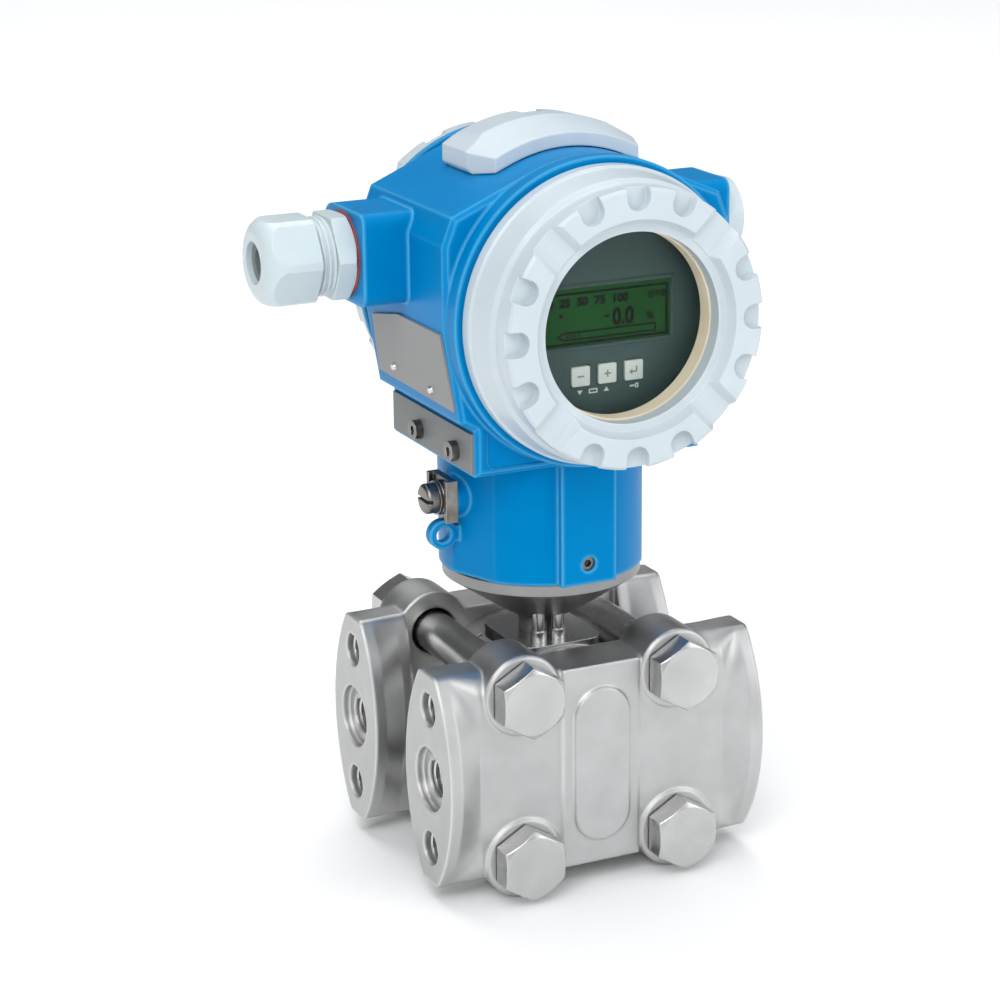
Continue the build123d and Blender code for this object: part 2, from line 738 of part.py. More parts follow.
with BuildPart() as housing:
    with BuildSketch(facing_front(-drum_front)):
        with BuildLine():
            ThreePointArc((crown_x, crown_z), (0, drum_z + drum_r), (-crown_x, crown_z))
            Polyline(
                (crown_x, crown_z),
                (shoulder_half, shoulder_z),
                (flank_half, flank_top_z),
                (flank_half, flank_bottom_z),
                (facet_half, facet_z),
                (lower_block_half, facet_step_z),
                (lower_block_half, lower_block_z),
                (-lower_block_half, lower_block_z),
                (-lower_block_half, facet_step_z),
                (-facet_half, facet_z),
                (-flank_half, flank_bottom_z),
                (-flank_half, flank_top_z),
                (-shoulder_half, shoulder_z),
                (-crown_x, crown_z),
            )
        make_face()
    extrude(amount=-(drum_front + drum_back))
    chamfer(housing.faces().sort_by(Axis.Y)[0].edges(), length=drum_edge)
    chamfer(housing.faces().sort_by(Axis.Y)[-1].edges(), length=drum_back_chamfer)
    for face_y, collar in ((-collar_front, front_collar), (drum_back, back_collar)):
        with BuildSketch(facing_front(face_y, drum_z)):
            Circle(collar_r)
        extrude(amount=-collar)
    with BuildSketch(across(axis_x - entry_face, cable_y, cable_z)) as entry_outline:
        Rectangle(entry_width, entry_height)
        fillet(entry_outline.vertices().group_by(Axis.X)[0], radius=entry_edge_r)
        fillet(entry_outline.vertices().group_by(Axis.X)[-1], radius=entry_back_r)
    extrude(amount=2 * entry_face)
    with BuildSketch(level(housing_bottom)):
        Circle(neck_r)
        for side in sides:
            with Locations(
                Location(
                    (
                        side * (neck_flat + neck_r) * sin(radians(neck_flat_angle)),
                        -(neck_flat + neck_r) * cos(radians(neck_flat_angle)),
                    ),
                    side * (neck_flat_angle - 90.0),
                )
            ):
                Rectangle(2 * neck_r, 2 * neck_r, mode=Mode.SUBTRACT)
    extrude(amount=lower_block_z - housing_bottom)
    with BuildSketch(level(housing_bottom)):
        with Locations((0, -front_pad_y / 2)):
            Rectangle(2 * front_pad_half, front_pad_y)
    extrude(amount=lower_block_z - housing_bottom)
    with BuildSketch(across(axis_x - ground_boss_face, ground_y, ground_z)):
        Circle(ground_boss_r)
    extrude(amount=ground_boss_face / 2)
    with BuildSketch(facing_front(lug_y - lug_half, lug_z)):
        with Locations((-lug_x, 0)):
            Circle(lug_r)
        with Locations((-(lug_x + lug_root_x) / 2, 0)):
            Rectangle(lug_x - lug_root_x, 2 * lug_hole_r)
    extrude(amount=-2 * lug_half)
    with BuildSketch(swung(-pedestal_angle)):
        Polygon(
            (key_shelf_front, drum_r - drum_edge),
            (key_shelf_front, drum_r + pedestal_rise),
            (pedestal_back, drum_r + pedestal_rise),
            (pedestal_back, drum_r - drum_edge),
            align=None,
        )
    revolve(axis=drum_axis, revolution_arc=2 * pedestal_angle)
    with BuildSketch(across(axis_x - hinge_lug_half)):
        with Locations((flap_pin_y, flap_pin_z)):
            Circle(hinge_lug_r)
        with Locations((flap_pin_y, (flap_pin_z + drum_z + drum_r - drum_edge) / 2)):
            Rectangle(2 * hinge_lug_r, flap_pin_z - drum_z - drum_r + drum_edge)
    extrude(amount=2 * hinge_lug_half)
    with BuildSketch(level(key_shelf_z)):
        with Locations((0, (key_shelf_front + key_shelf_back) / 2)):
            Rectangle(2 * key_shelf_half_x, key_shelf_back - key_shelf_front)
    extrude(amount=flap_top_r, mode=Mode.SUBTRACT)
    with BuildSketch(level(key_shelf_z - outer_key_sink, outer_key_y)):
        with GridLocations(key_spacing, 1, len(key_columns), 1):
            Circle(outer_key_r + running_gap)
    extrude(amount=flap_top_r, mode=Mode.SUBTRACT)
    with BuildSketch(across(axis_x - hinge_lug_half, flap_pin_y, flap_pin_z)):
        Circle(pin_bore_r)
    extrude(amount=2 * hinge_lug_half, mode=Mode.SUBTRACT)
    with BuildSketch(facing_front(-collar_front, drum_z)):
        Circle(bore_r)
    extrude(amount=-(collar_front + partition_front), mode=Mode.SUBTRACT)
    with BuildSketch(facing_front(partition_back, drum_z)):
        Circle(bore_r)
    extrude(amount=-(collar_back - partition_back), mode=Mode.SUBTRACT)
    with BuildSketch(across(axis_x - entry_face, cable_y, cable_z)):
        Circle(entry_r)
    extrude(amount=2 * entry_face, mode=Mode.SUBTRACT)
    with BuildSketch(level(housing_bottom)):
        Circle(neck_bore_r)
    extrude(amount=stem_top + running_gap - housing_bottom, mode=Mode.SUBTRACT)
    with BuildSketch(level(stem_top, passage_hole_y)):
        Circle(passage_hole_r)
    extrude(amount=drum_z - stem_top, mode=Mode.SUBTRACT)
    with BuildSketch(facing_front(-front_pad_y, lock_screw_z)):
        Circle(lock_screw_r + thread_gap)
    extrude(amount=-(front_pad_y - neck_bore_r + running_gap), mode=Mode.SUBTRACT)
    with BuildSketch(across(axis_x - ground_boss_face, ground_y, ground_z)):
        Circle(ground_screw_r + thread_gap)
    extrude(amount=ground_screw_depth, mode=Mode.SUBTRACT)
    with BuildSketch(facing_front(lug_y - lug_half, lug_z)):
        with Locations((-lug_x, 0)):
            Circle(lug_hole_r)
    extrude(amount=-2 * lug_half, mode=Mode.SUBTRACT)


# Small pieces on the housing's neck
with BuildPart() as lock_screw:
    with BuildSketch(facing_front(-front_pad_y + lock_screw_inset, lock_screw_z)):
        Circle(lock_screw_r)
    extrude(amount=-(front_pad_y - lock_screw_inset - stem_r + lock_groove_depth - running_gap))
    with BuildSketch(facing_front(-front_pad_y + lock_screw_inset, lock_screw_z)):
        RegularPolygon(lock_screw_socket_af / 2, 6, major_radius=False)
    extrude(amount=-lock_screw_r, mode=Mode.SUBTRACT)

clamp_face = ground_boss_face + clamp_thickness
washer_face = clamp_face + washer_count * washer_thickness

with BuildPart() as ground_clamp:
    with BuildSketch(across(axis_x - ground_boss_face, ground_y, ground_z)):
        Rectangle(2 * clamp_half_y, clamp_height)
    extrude(amount=-clamp_thickness)
    for side in sides:
        with BuildSketch(across(axis_x - clamp_face, ground_y, ground_z)):
            with Locations((side * (clamp_half_y - clamp_lip_width / 2), 0)):
                Rectangle(clamp_lip_width, clamp_height)
        extrude(amount=-clamp_lip)
    with BuildSketch(across(axis_x - ground_boss_face, ground_y, ground_z)):
        Circle(ground_screw_r + thread_gap)
    extrude(amount=-clamp_thickness, mode=Mode.SUBTRACT)

with BuildPart() as ground_washers:
    for level_index in range(washer_count):
        with BuildSketch(across(axis_x - clamp_face - level_index * washer_thickness, ground_y, ground_z)):
            Circle(washer_r - level_index * seat_gap)
            Circle(ground_screw_r + thread_gap, mode=Mode.SUBTRACT)
        extrude(amount=-washer_thickness + level_index * seat_gap)

with BuildPart() as ground_screw:
    with BuildSketch(across(axis_x - washer_face, ground_y, ground_z)):
        Circle(ground_head_r)
    extrude(amount=-ground_head)
    fillet(ground_screw.faces().sort_by(Axis.X)[0].edges(), radius=ground_head_round)
    with BuildSketch(across(axis_x - washer_face - ground_head, ground_y, ground_z)):
        Rectangle(2 * ground_head_r, ground_slot)
    extrude(amount=ground_slot_depth, mode=Mode.SUBTRACT)
    with BuildSketch(across(axis_x - washer_face, ground_y, ground_z)):
        Circle(ground_screw_r)
    extrude(amount=washer_face - ground_boss_face + ground_screw_depth)

# Plates on the left side: a bare name plate on the sloped facet and a strip on the lower block
facet_lean = radians(facet_angle)
facet_run = 1 / cos(facet_lean)
facet_plane = Plane(
    origin=(axis_x - facet_half, 0, facet_z),
    x_dir=(0, -1, 0),
    z_dir=(-cos(facet_lean), 0, -sin(facet_lean)),
)

with BuildPart() as name_plate:
    with BuildSketch(facet_plane):
        Polygon(*[(-y, (z - facet_z) * facet_run) for y, z in name_plate_points], align=None)
    extrude(amount=plate_thickness)
    with BuildSketch(facet_plane):
        with Locations(*[(-y, (z - facet_z) * facet_run) for y, z in rivet_points]):
            Circle(rivet_r / 2 + seat_gap)
    extrude(amount=plate_thickness, mode=Mode.SUBTRACT)

with BuildPart() as plate_rivets:
    with BuildSketch(facet_plane.offset(plate_thickness)):
        with Locations(*[(-y, (z - facet_z) * facet_run) for y, z in rivet_points]):
            Circle(rivet_r)
    extrude(amount=rivet_rise, taper=rivet_taper)
    with BuildSketch(facet_plane.offset(plate_thickness)):
        with Locations(*[(-y, (z - facet_z) * facet_run) for y, z in rivet_points]):
            Circle(rivet_r / 2)
    extrude(amount=-plate_thickness - rivet_depth)

with BuildPart() as lower_plate:
    with BuildSketch(across(axis_x - lower_block_half)):
        with Locations(
            (
                (lower_plate_back - lower_plate_front) / 2,
                (lower_plate_bottom + lower_plate_top) / 2,
            )
        ):
            Rectangle(lower_plate_back + lower_plate_front, lower_plate_top - lower_plate_bottom)
    extrude(amount=-plate_thickness)
    with BuildSketch(across(axis_x - lower_block_half)):
        with Locations(*[(y, lower_screw_z) for y in lower_screw_y]):
            Circle(lower_screw_r + thread_gap)
    extrude(amount=-plate_thickness, mode=Mode.SUBTRACT)

with BuildPart() as lower_plate_screws:
    for screw_y in lower_screw_y:
        head_plane = across(axis_x - lower_block_half - plate_thickness, screw_y, lower_screw_z)
        with BuildSketch(head_plane):
            Circle(lower_screw_head_r)
        extrude(amount=-lower_screw_head)
        with BuildSketch(head_plane):
            Circle(lower_screw_r)
        extrude(amount=plate_thickness + lower_screw_depth)
        with BuildSketch(head_plane.offset(-lower_screw_head)):
            RegularPolygon(lower_screw_socket_af / 2, 6, major_radius=False)
        extrude(amount=lower_screw_socket_depth, mode=Mode.SUBTRACT)

# Screw holes of those pieces in the housing
with BuildPart() as housing_drilled:
    add(housing.part)
    with BuildSketch(facet_plane):
        with Locations(*[(-y, (z - facet_z) * facet_run) for y, z in rivet_points]):
            Circle(rivet_r / 2 + seat_gap)
    extrude(amount=-rivet_depth, mode=Mode.SUBTRACT)
    with BuildSketch(across(axis_x - lower_block_half)):
        with Locations(*[(y, lower_screw_z) for y in lower_screw_y]):
            Circle(lower_screw_r + thread_gap)
    extrude(amount=lower_screw_depth, mode=Mode.SUBTRACT)
    with BuildSketch(facing_front(partition_front, drum_z)):
        with Locations((-insert_screw_x, 0), (insert_screw_x, 0)):
            Circle(insert_screw_r + thread_gap)
    extrude(amount=-insert_screw_depth, mode=Mode.SUBTRACT)
    with BuildSketch(facing_front(partition_back, inner_ground_z)):
        with Locations((inner_ground_x, 0)):
            Circle(inner_ground_r + thread_gap)
    extrude(amount=insert_screw_depth, mode=Mode.SUBTRACT)

# Cable gland on the left: seal ring, body, rubber insert and dome nut
with BuildPart() as gland_seal_ring:
    with BuildSketch(across(axis_x - entry_face, cable_y, cable_z)):
        Circle(seal_ring_r)
        Circle(entry_r + seat_gap, mode=Mode.SUBTRACT)
    extrude(amount=-seal_ring)

with BuildPart() as gland_body:
    with BuildSketch(across(axis_x - gland_face, cable_y, cable_z)):
        RegularPolygon(gland_af / 2, 6, major_radius=False)
    extrude(amount=-gland_hex)
    with BuildSketch(across(axis_x - gland_face, cable_y, cable_z)):
        Circle(gland_af / 2)
    extrude(amount=-gland_hex, taper=-hex_chamfer_angle, mode=Mode.INTERSECT)
    with BuildSketch(across(axis_x - gland_hex_face, cable_y, cable_z)):
        Circle(gland_neck_r)
    extrude(amount=-gland_neck)
    with BuildSketch(across(axis_x - gland_face, cable_y, cable_z)):
        Circle(entry_thread_r)
    extrude(amount=gland_thread)
    with BuildSketch(across(axis_x - gland_face + gland_thread, cable_y, cable_z)):
        Circle(gland_bore_r)
    extrude(amount=-(gland_thread + gland_hex + gland_neck), mode=Mode.SUBTRACT)

with BuildPart() as gland_insert:
    with BuildSketch(across(axis_x - insert_end, cable_y, cable_z)):
        Circle(insert_r)
        Circle(insert_bore_r, mode=Mode.SUBTRACT)
    extrude(amount=insert_length)

with BuildPart() as gland_nut:
    with BuildSketch(across(axis_x - nut_start, cable_y, cable_z)):
        RegularPolygon(nut_af / 2, 6, major_radius=False)
    extrude(amount=-nut_length)
    with BuildSketch(cable_section):
        with BuildLine():
            Polyline(
                (-nut_end, nut_mouth_r),
                (-nut_end, nut_face_r),
            )
            ThreePointArc(
                (-nut_end, nut_face_r),
                (
                    -nut_end + nut_dome * (1 - cos(radians(45))),
                    nut_face_r + (nut_hex_r - nut_face_r) * sin(radians(45)),
                ),
                (-nut_end + nut_dome, nut_hex_r),
            )
            Polyline(
                (-nut_end + nut_dome, nut_hex_r),
                (-nut_start - seat_gap, nut_hex_r),
                (-nut_start, nut_hex_r - hex_chamfer),
                (-nut_start, nut_bore_r),
                (-gland_hex_face - gland_neck - nut_wall, nut_bore_r),
                (-insert_end, insert_r + seat_gap),
                (-insert_end, nut_mouth_r),
                (-nut_end, nut_mouth_r),
            )
        make_face()
    revolve(axis=cable_axis, mode=Mode.INTERSECT)

# Blind plug on the right
with BuildPart() as blind_plug_seal:
    with BuildSketch(across(axis_x + entry_face, cable_y, cable_z)):
        Circle(seal_ring_r)
        Circle(entry_r + seat_gap, mode=Mode.SUBTRACT)
    extrude(amount=seal_ring)

with BuildPart() as blind_plug:
    with BuildSketch(across(axis_x + gland_face, cable_y, cable_z)):
        RegularPolygon(gland_af / 2, 6, major_radius=False)
    extrude(amount=plug_hex)
    with BuildSketch(across(axis_x + gland_face, cable_y, cable_z)):
        Circle(gland_af / 2 + hex_chamfer)
    extrude(amount=plug_hex, taper=plug_taper, mode=Mode.INTERSECT)
    with BuildSketch(across(axis_x + gland_face, cable_y, cable_z)):
        Circle(entry_thread_r)
    extrude(amount=-gland_thread)
    with BuildSketch(across(axis_x + gland_face + plug_hex, cable_y, cable_z)):
        Circle(plug_dimple_r)
    extrude(amount=-plug_dimple, mode=Mode.SUBTRACT)

# Front cover: spigot, skirt and four lobed arcs round the window
with BuildPart() as front_cover:
    with BuildSketch(drum_section):
        Polygon(
            (-spigot_end, spigot_inner_r),
            (-spigot_end, spigot_r),
            (-cover_back + running_gap + cover_seal_width + running_gap, spigot_r),
            (-cover_back + running_gap + cover_seal_width + running_gap, spigot_r - cover_seal_depth),
            (-cover_back + running_gap + running_gap, spigot_r - cover_seal_depth),
            (-cover_back + running_gap + running_gap, spigot_r),
            (-cover_back, spigot_r),
            (-cover_back, cover_r - cover_rim_step),
            (-cover_back - cover_rim_step, cover_r),
            (-cover_back - cover_rim, cover_r),
            (-cover_back - cover_rim - cover_rim_step, cover_r - cover_rim_step),
            (-skirt_front, cover_skirt_r),
            (-ring_foot, ring_back_r),
            (-ring_face + cover_rim_step, ring_back_r),
            (-ring_face, ring_back_r - cover_rim_step),
            (-ring_face, window_r),
            (-window_back, window_r),
            (-window_back, glass_r),
            (-glass_back, glass_r),
            (-glass_back, cover_cavity_r),
            (-cover_back, cover_cavity_r),
            (-cover_back, spigot_inner_r),
            align=None,
        )
    revolve(axis=drum_axis)
    with BuildSketch(drum_section):
        Polygon(
            (-skirt_front, ring_back_r - cover_rim_step),
            (-skirt_front, lobe_r),
            (-arc_face + lobe_bevel, lobe_r),
            (-arc_face, lobe_r - lobe_bevel),
            (-arc_face, arc_inner_r + arc_bevel),
            (-ring_face, arc_inner_r),
            (-ring_face, ring_back_r - cover_rim_step),
            align=None,
        )
    revolve(axis=drum_axis)
    with BuildSketch(facing_front(-arc_face, drum_z)):
        for arc in range(arc_count):
            for scoop in range(scoops_per_arc):
                with PolarLocations(
                    lobe_r, 1, (arc - 0.5) * 360 / arc_count + (scoop + 1) * scoop_step
                ):
                    SlotOverall(2 * (lobe_r - scoop_inner_r), 2 * scoop_r)
    extrude(amount=-(arc_face - scoop_floor), mode=Mode.SUBTRACT)
    with BuildSketch(facing_front(-gap_floor, drum_z)):
        with PolarLocations((arc_inner_r + lobe_r) / 2 + gap_flank, arc_count, 180 / arc_count):
            Rectangle(lobe_r - arc_inner_r + 3 * gap_flank, gap_width)
    extrude(amount=arc_face - gap_floor, taper=-gap_taper, mode=Mode.SUBTRACT)

with BuildPart() as window_cement:
    with BuildSketch(facing_front(-window_back, drum_z)):
        Circle(glass_r - seat_gap)
        Circle(cement_r, mode=Mode.SUBTRACT)
    extrude(amount=-cement_length)

with BuildPart() as cover_window:
    with BuildSketch(facing_front(-cement_back, drum_z)):
        Circle(glass_r - seat_gap)
    extrude(amount=-glass_thickness)

with BuildPart() as front_cover_seal:
    with BuildSketch(facing_front(-cover_back + 2 * running_gap + seat_gap, drum_z)):
        Circle(bore_r - seat_gap)
        Circle(spigot_r - cover_seal_depth + seat_gap, mode=Mode.SUBTRACT)
    extrude(amount=-cover_seal_width + 2 * seat_gap)

# Rear cover over the wiring chamber
with BuildPart() as rear_cover:
    with BuildSketch(drum_section):
        Polygon(
            (rear_spigot_end, spigot_inner_r),
            (rear_spigot_end, spigot_r),
            (rear_cover_front - 2 * running_gap - cover_seal_width, spigot_r),
            (rear_cover_front - 2 * running_gap - cover_seal_width, spigot_r - cover_seal_depth),
            (rear_cover_front - 2 * running_gap, spigot_r - cover_seal_depth),
            (rear_cover_front - 2 * running_gap, spigot_r),
            (rear_cover_front, spigot_r),
            (rear_cover_front, back_cover_r - cover_rim_step),
            (rear_cover_front + cover_rim_step, back_cover_r),
            (back_cover_face - back_cover_bevel, back_cover_r),
            (back_cover_face, back_cover_r - 2 * back_cover_bevel),
            (back_cover_face, 0),
            (back_cover_face - back_cover_wall, 0),
            (back_cover_face - back_cover_wall, spigot_inner_r),
            align=None,
        )
    revolve(axis=drum_axis)
    with BuildSketch(facing_front(back_cover_face, drum_z)):
        with PolarLocations(back_scoop_centre_r, arc_count * (scoops_per_arc + 1)):
            Circle(back_scoop_r)
    extrude(amount=back_cover_face - rear_cover_front - cover_rim, mode=Mode.SUBTRACT)

with BuildPart() as rear_cover_seal:
    with BuildSketch(facing_front(rear_cover_front - 2 * running_gap - seat_gap, drum_z)):
        Circle(bore_r - seat_gap)
        Circle(spigot_r - cover_seal_depth + seat_gap, mode=Mode.SUBTRACT)
    extrude(amount=cover_seal_width - 2 * seat_gap)

# Key flap: an arched hood over the outer keys, hinged at the rear of the crown
flap_sweep = flap_cavity_angle + flap_end_run
flap_slope_end = flap_front - flap_slope
flap_slope_rate = (flap_height - flap_front_height) / flap_slope
flap_inner_front = flap_front - flap_front_wall
flap_inner_r = flap_top_r - flap_wall

with BuildPart() as key_flap:
    with BuildSketch(swung(-flap_sweep)):
        Polygon(
            (-flap_front, flap_low_r),
            (-flap_front, flap_low_r + flap_front_height),
            (-flap_slope_end, flap_top_r),
            (flap_back, flap_top_r - flap_back_drop),
            (flap_back, flap_low_r + flap_back_lift),
            (flap_pin_y - running_gap, flap_low_r + flap_back_lift),
            (flap_pin_y - running_gap, flap_low_r),
            align=None,
        )
    revolve(axis=drum_axis, revolution_arc=2 * flap_sweep)
    with BuildSketch(swung(-flap_cavity_angle)):
        Polygon(
            (-flap_inner_front, 0),
            (-flap_inner_front, flap_inner_r - flap_slope_rate * (flap_inner_front - flap_slope_end)),
            (-flap_slope_end, flap_inner_r),
            (flap_back - flap_wall, flap_inner_r - flap_back_drop),
            (flap_back - flap_wall, 0),
            align=None,
        )
    revolve(axis=drum_axis, revolution_arc=2 * flap_cavity_angle, mode=Mode.SUBTRACT)
    with BuildSketch(facing_front(-flap_front, drum_z)):
        Polygon(
            (-flap_end_x, 0),
            (-flap_end_x, flap_end_rise),
            (0, flap_peak),
            (flap_end_x, flap_end_rise),
            (flap_end_x, 0),
            align=None,
        )
    extrude(amount=-(flap_front + flap_back), mode=Mode.INTERSECT)
    for side in sides:
        with BuildSketch(swung(side * crown_angle)):
            Polygon(
                (-flap_front, 0),
                (-flap_front, flap_low_r),
                (flap_back, flap_low_r),
                (flap_back, 0),
                align=None,
            )
        extrude(amount=side * flap_low_r, mode=Mode.SUBTRACT)
        with BuildSketch(level(drum_z)):
            Polygon(
                (side * flap_end_x, -flap_front + flap_corner_back),
                (side * (flap_end_x - flap_corner_in), -flap_front),
                (side * flap_end_x, -flap_front),
                align=None,
            )
        extrude(amount=flap_top_r, mode=Mode.SUBTRACT)
    with BuildSketch(across(axis_x - flap_pin_half, flap_pin_y, flap_pin_z)):
        Circle(hinge_lug_r)
    extrude(amount=2 * flap_pin_half)
    with BuildSketch(across(axis_x - hinge_lug_half - running_gap)):
        with Locations((flap_back, flap_pin_z)):
            Rectangle(2 * (flap_back - flap_pin_y + hinge_lug_r + running_gap), 4 * hinge_lug_r)
    extrude(amount=2 * (hinge_lug_half + running_gap), mode=Mode.SUBTRACT)
    with BuildSketch(across(axis_x - flap_pin_half, flap_pin_y, flap_pin_z)):
        Circle(flap_pin_r)
    extrude(amount=2 * flap_pin_half, mode=Mode.SUBTRACT)

with BuildPart() as flap_hinge_pin:
    with BuildSketch(across(axis_x - flap_pin_half, flap_pin_y, flap_pin_z)):
        Circle(flap_pin_r)
    extrude(amount=2 * flap_pin_half)

with BuildPart() as key_gasket:
    with BuildSketch(level(key_shelf_z, (key_shelf_front + key_shelf_back) / 2)):
        Rectangle(
            2 * (key_shelf_half_x - seat_gap),
            key_shelf_back - key_shelf_front - 2 * seat_gap,
        )
    extrude(amount=gasket_thickness)
    with BuildSketch(level(key_shelf_z, outer_key_y)):
        with GridLocations(key_spacing, 1, len(key_columns), 1):
            Circle(outer_key_r + running_gap)
    extrude(amount=gasket_thickness, mode=Mode.SUBTRACT)

# Three keys under the flap
outer_keys = []
for column, place in zip(key_columns, key_places):
    with BuildPart() as outer_key:
        with BuildSketch(level(key_shelf_z - outer_key_foot, outer_key_y)):
            with Locations((column * key_spacing, 0)):
                Circle(outer_key_r)
        extrude(amount=outer_key_rise + outer_key_foot)
        chamfer(outer_key.faces().sort_by(Axis.Z)[-1].edges(), length=outer_key_chamfer)
    outer_key.part.label = "outer_key_" + place
    outer_keys.append(outer_key.part)

# Display unit in the front chamber: cup-shaped bezel, LCD panel, circuit board and keys
foot_size = display_key_size + 2 * display_key_foot
plate_back = bezel_face - bezel_plate
foot_front = plate_back - running_gap

with BuildPart() as display_bezel:
    with BuildSketch(facing_front(-bezel_face, drum_z)):
        Circle(bezel_r)
    extrude(amount=-(bezel_face - bezel_back))
    with BuildSketch(facing_front(-plate_back, drum_z)):
        Circle(bezel_r - bezel_wall)
    extrude(amount=-(plate_back - bezel_back), mode=Mode.SUBTRACT)
    with BuildSketch(facing_front(-bezel_face, lcd_z)):
        Rectangle(lcd_width, lcd_height)
    extrude(amount=-bezel_plate, mode=Mode.SUBTRACT)
    with BuildSketch(facing_front(-bezel_face, display_key_z)):
        with GridLocations(display_key_spacing, 1, len(key_columns), 1):
            Rectangle(display_key_size + running_gap, display_key_size + running_gap)
    extrude(amount=-bezel_plate, mode=Mode.SUBTRACT)

with BuildPart() as lcd_panel:
    with BuildSketch(facing_front(-plate_back, lcd_z)):
        Rectangle(lcd_width - 2 * seat_gap, lcd_height - 2 * seat_gap)
    extrude(amount=bezel_plate - lcd_recess)
    with BuildSketch(facing_front(-plate_back, lcd_z)):
        Rectangle(lcd_width + lcd_frame, lcd_height + lcd_frame)
    extrude(amount=-lcd_frame_depth)

with BuildPart() as display_board:
    with BuildSketch(facing_front(-display_board_y, drum_z)):
        Circle(bezel_r - bezel_wall - seat_gap)
        Circle(hub_r + pin_gap, mode=Mode.SUBTRACT)
    extrude(amount=-board_thickness)

display_keys = []
for column, place in zip(key_columns, key_places):
    with BuildPart() as display_key:
        with BuildSketch(facing_front(-foot_front, display_key_z)):
            with Locations((column * display_key_spacing, 0)):
                RectangleRounded(display_key_size, display_key_size, display_key_corner)
        extrude(amount=bezel_face + display_key_proud - foot_front)
        with BuildSketch(facing_front(-foot_front, display_key_z)):
            with Locations((column * display_key_spacing, 0)):
                Rectangle(foot_size, foot_size)
        extrude(amount=-display_key_foot)
    display_key.part.label = "display_key_" + place
    display_keys.append(display_key.part)

# Electronics cup behind the display, with the hub that the display turns on
with BuildPart() as electronics_insert:
    with BuildSketch(facing_front(-insert_cup_front, drum_z)):
        Circle(insert_cup_r)
    extrude(amount=-(insert_cup_front + partition_front))
    with BuildSketch(facing_front(-insert_cup_front + insert_cup_wall, drum_z)):
        Circle(insert_cup_r - insert_cup_wall)
    extrude(amount=-(insert_cup_front - insert_cup_wall + partition_front), mode=Mode.SUBTRACT)
    for side in sides:
        with BuildSketch(facing_front(-insert_cup_front, drum_z)):
            with Locations((side * insert_screw_x, 0)):
                Circle(insert_screw_head_r)
        extrude(amount=-(insert_cup_front + partition_front))
        with BuildSketch(facing_front(-insert_cup_front, drum_z)):
            with Locations((side * insert_screw_x, 0)):
                Circle(insert_screw_r + thread_gap)
        extrude(amount=-(insert_cup_front + partition_front), mode=Mode.SUBTRACT)
        with BuildSketch(facing_front(-insert_cup_front, drum_z)):
            with Locations((side * insert_screw_x, 0)):
                Circle(insert_screw_head_r + thread_gap)
        extrude(amount=-insert_screw_head, mode=Mode.SUBTRACT)
    with BuildSketch(facing_front(-insert_cup_front, drum_z)):
        Circle(hub_r)
    extrude(amount=display_board_y - insert_cup_front)

with BuildPart() as insert_screws:
    for side in sides:
        with BuildSketch(facing_front(-insert_cup_front, drum_z)):
            with Locations((side * insert_screw_x, 0)):
                Circle(insert_screw_head_r)
        extrude(amount=-insert_screw_head)
        with BuildSketch(facing_front(-insert_cup_front, drum_z)):
            with Locations((side * insert_screw_x, 0)):
                Circle(insert_screw_r)
        extrude(amount=-(insert_cup_front + partition_front + insert_screw_depth))

with BuildPart() as main_board:
    with BuildSketch(facing_front(-main_board_y, drum_z)):
        Circle(insert_cup_r - insert_cup_wall - seat_gap)
        with Locations((-insert_screw_x, 0), (insert_screw_x, 0)):
            Circle(insert_screw_head_r + seat_gap, mode=Mode.SUBTRACT)
        for side in sides:
            with Locations((side * (insert_screw_x + insert_cup_r) / 2, 0)):
                Rectangle(insert_cup_r - insert_screw_x, insert_screw_head_r, mode=Mode.SUBTRACT)
    extrude(amount=-board_thickness)

# Wiring chamber: terminal block, its screws and the inner earth screw
terminal_face = partition_back + terminal_depth
terminal_ledge_z = terminal_z + (terminal_height - terminal_step_height) / 2

with BuildPart() as terminal_block:
    with BuildSketch(facing_front(partition_back, terminal_z)):
        RectangleRounded(terminal_width, terminal_height, terminal_corner)
    extrude(amount=-terminal_depth)
    with BuildSketch(facing_front(terminal_face, terminal_z)):
        with Locations((0, terminal_height / 2)):
            Rectangle(terminal_width, terminal_step_height)
    extrude(amount=terminal_step, mode=Mode.SUBTRACT)
    with BuildSketch(facing_front(terminal_face, terminal_z)):
        with GridLocations(terminal_pitch, 1, terminal_count, 1):
            with Locations((0, -terminal_hole_drop)):
                Circle(terminal_hole_r)
    extrude(amount=terminal_hole_depth, mode=Mode.SUBTRACT)
    with BuildSketch(level(terminal_ledge_z, partition_back + terminal_step)):
        with GridLocations(terminal_pitch, 1, terminal_count, 1):
            Circle(terminal_wire_r)
    extrude(amount=-terminal_wire_depth, mode=Mode.SUBTRACT)

with BuildPart() as terminal_screws:
    with BuildSketch(facing_front(terminal_face - terminal_hole_depth, terminal_z)):
        with GridLocations(terminal_pitch, 1, terminal_count, 1):
            with Locations((0, -terminal_hole_drop)):
                Circle(terminal_screw_r)
    extrude(amount=-terminal_screw_depth)

with BuildPart() as inner_ground_screw:
    with BuildSketch(facing_front(partition_back, inner_ground_z)):
        with Locations((inner_ground_x, 0)):
            Circle(inner_ground_head_r)
    extrude(amount=-inner_ground_head)
    with BuildSketch(facing_front(partition_back + inner_ground_head, inner_ground_z)):
        with Locations((inner_ground_x, 0)):
            Rectangle(2 * inner_ground_head_r, ground_slot)
    extrude(amount=inner_ground_head / 2, mode=Mode.SUBTRACT)
    with BuildSketch(facing_front(partition_back, inner_ground_z)):
        with Locations((inner_ground_x, 0)):
            Circle(inner_ground_r)
    extrude(amount=insert_screw_depth)

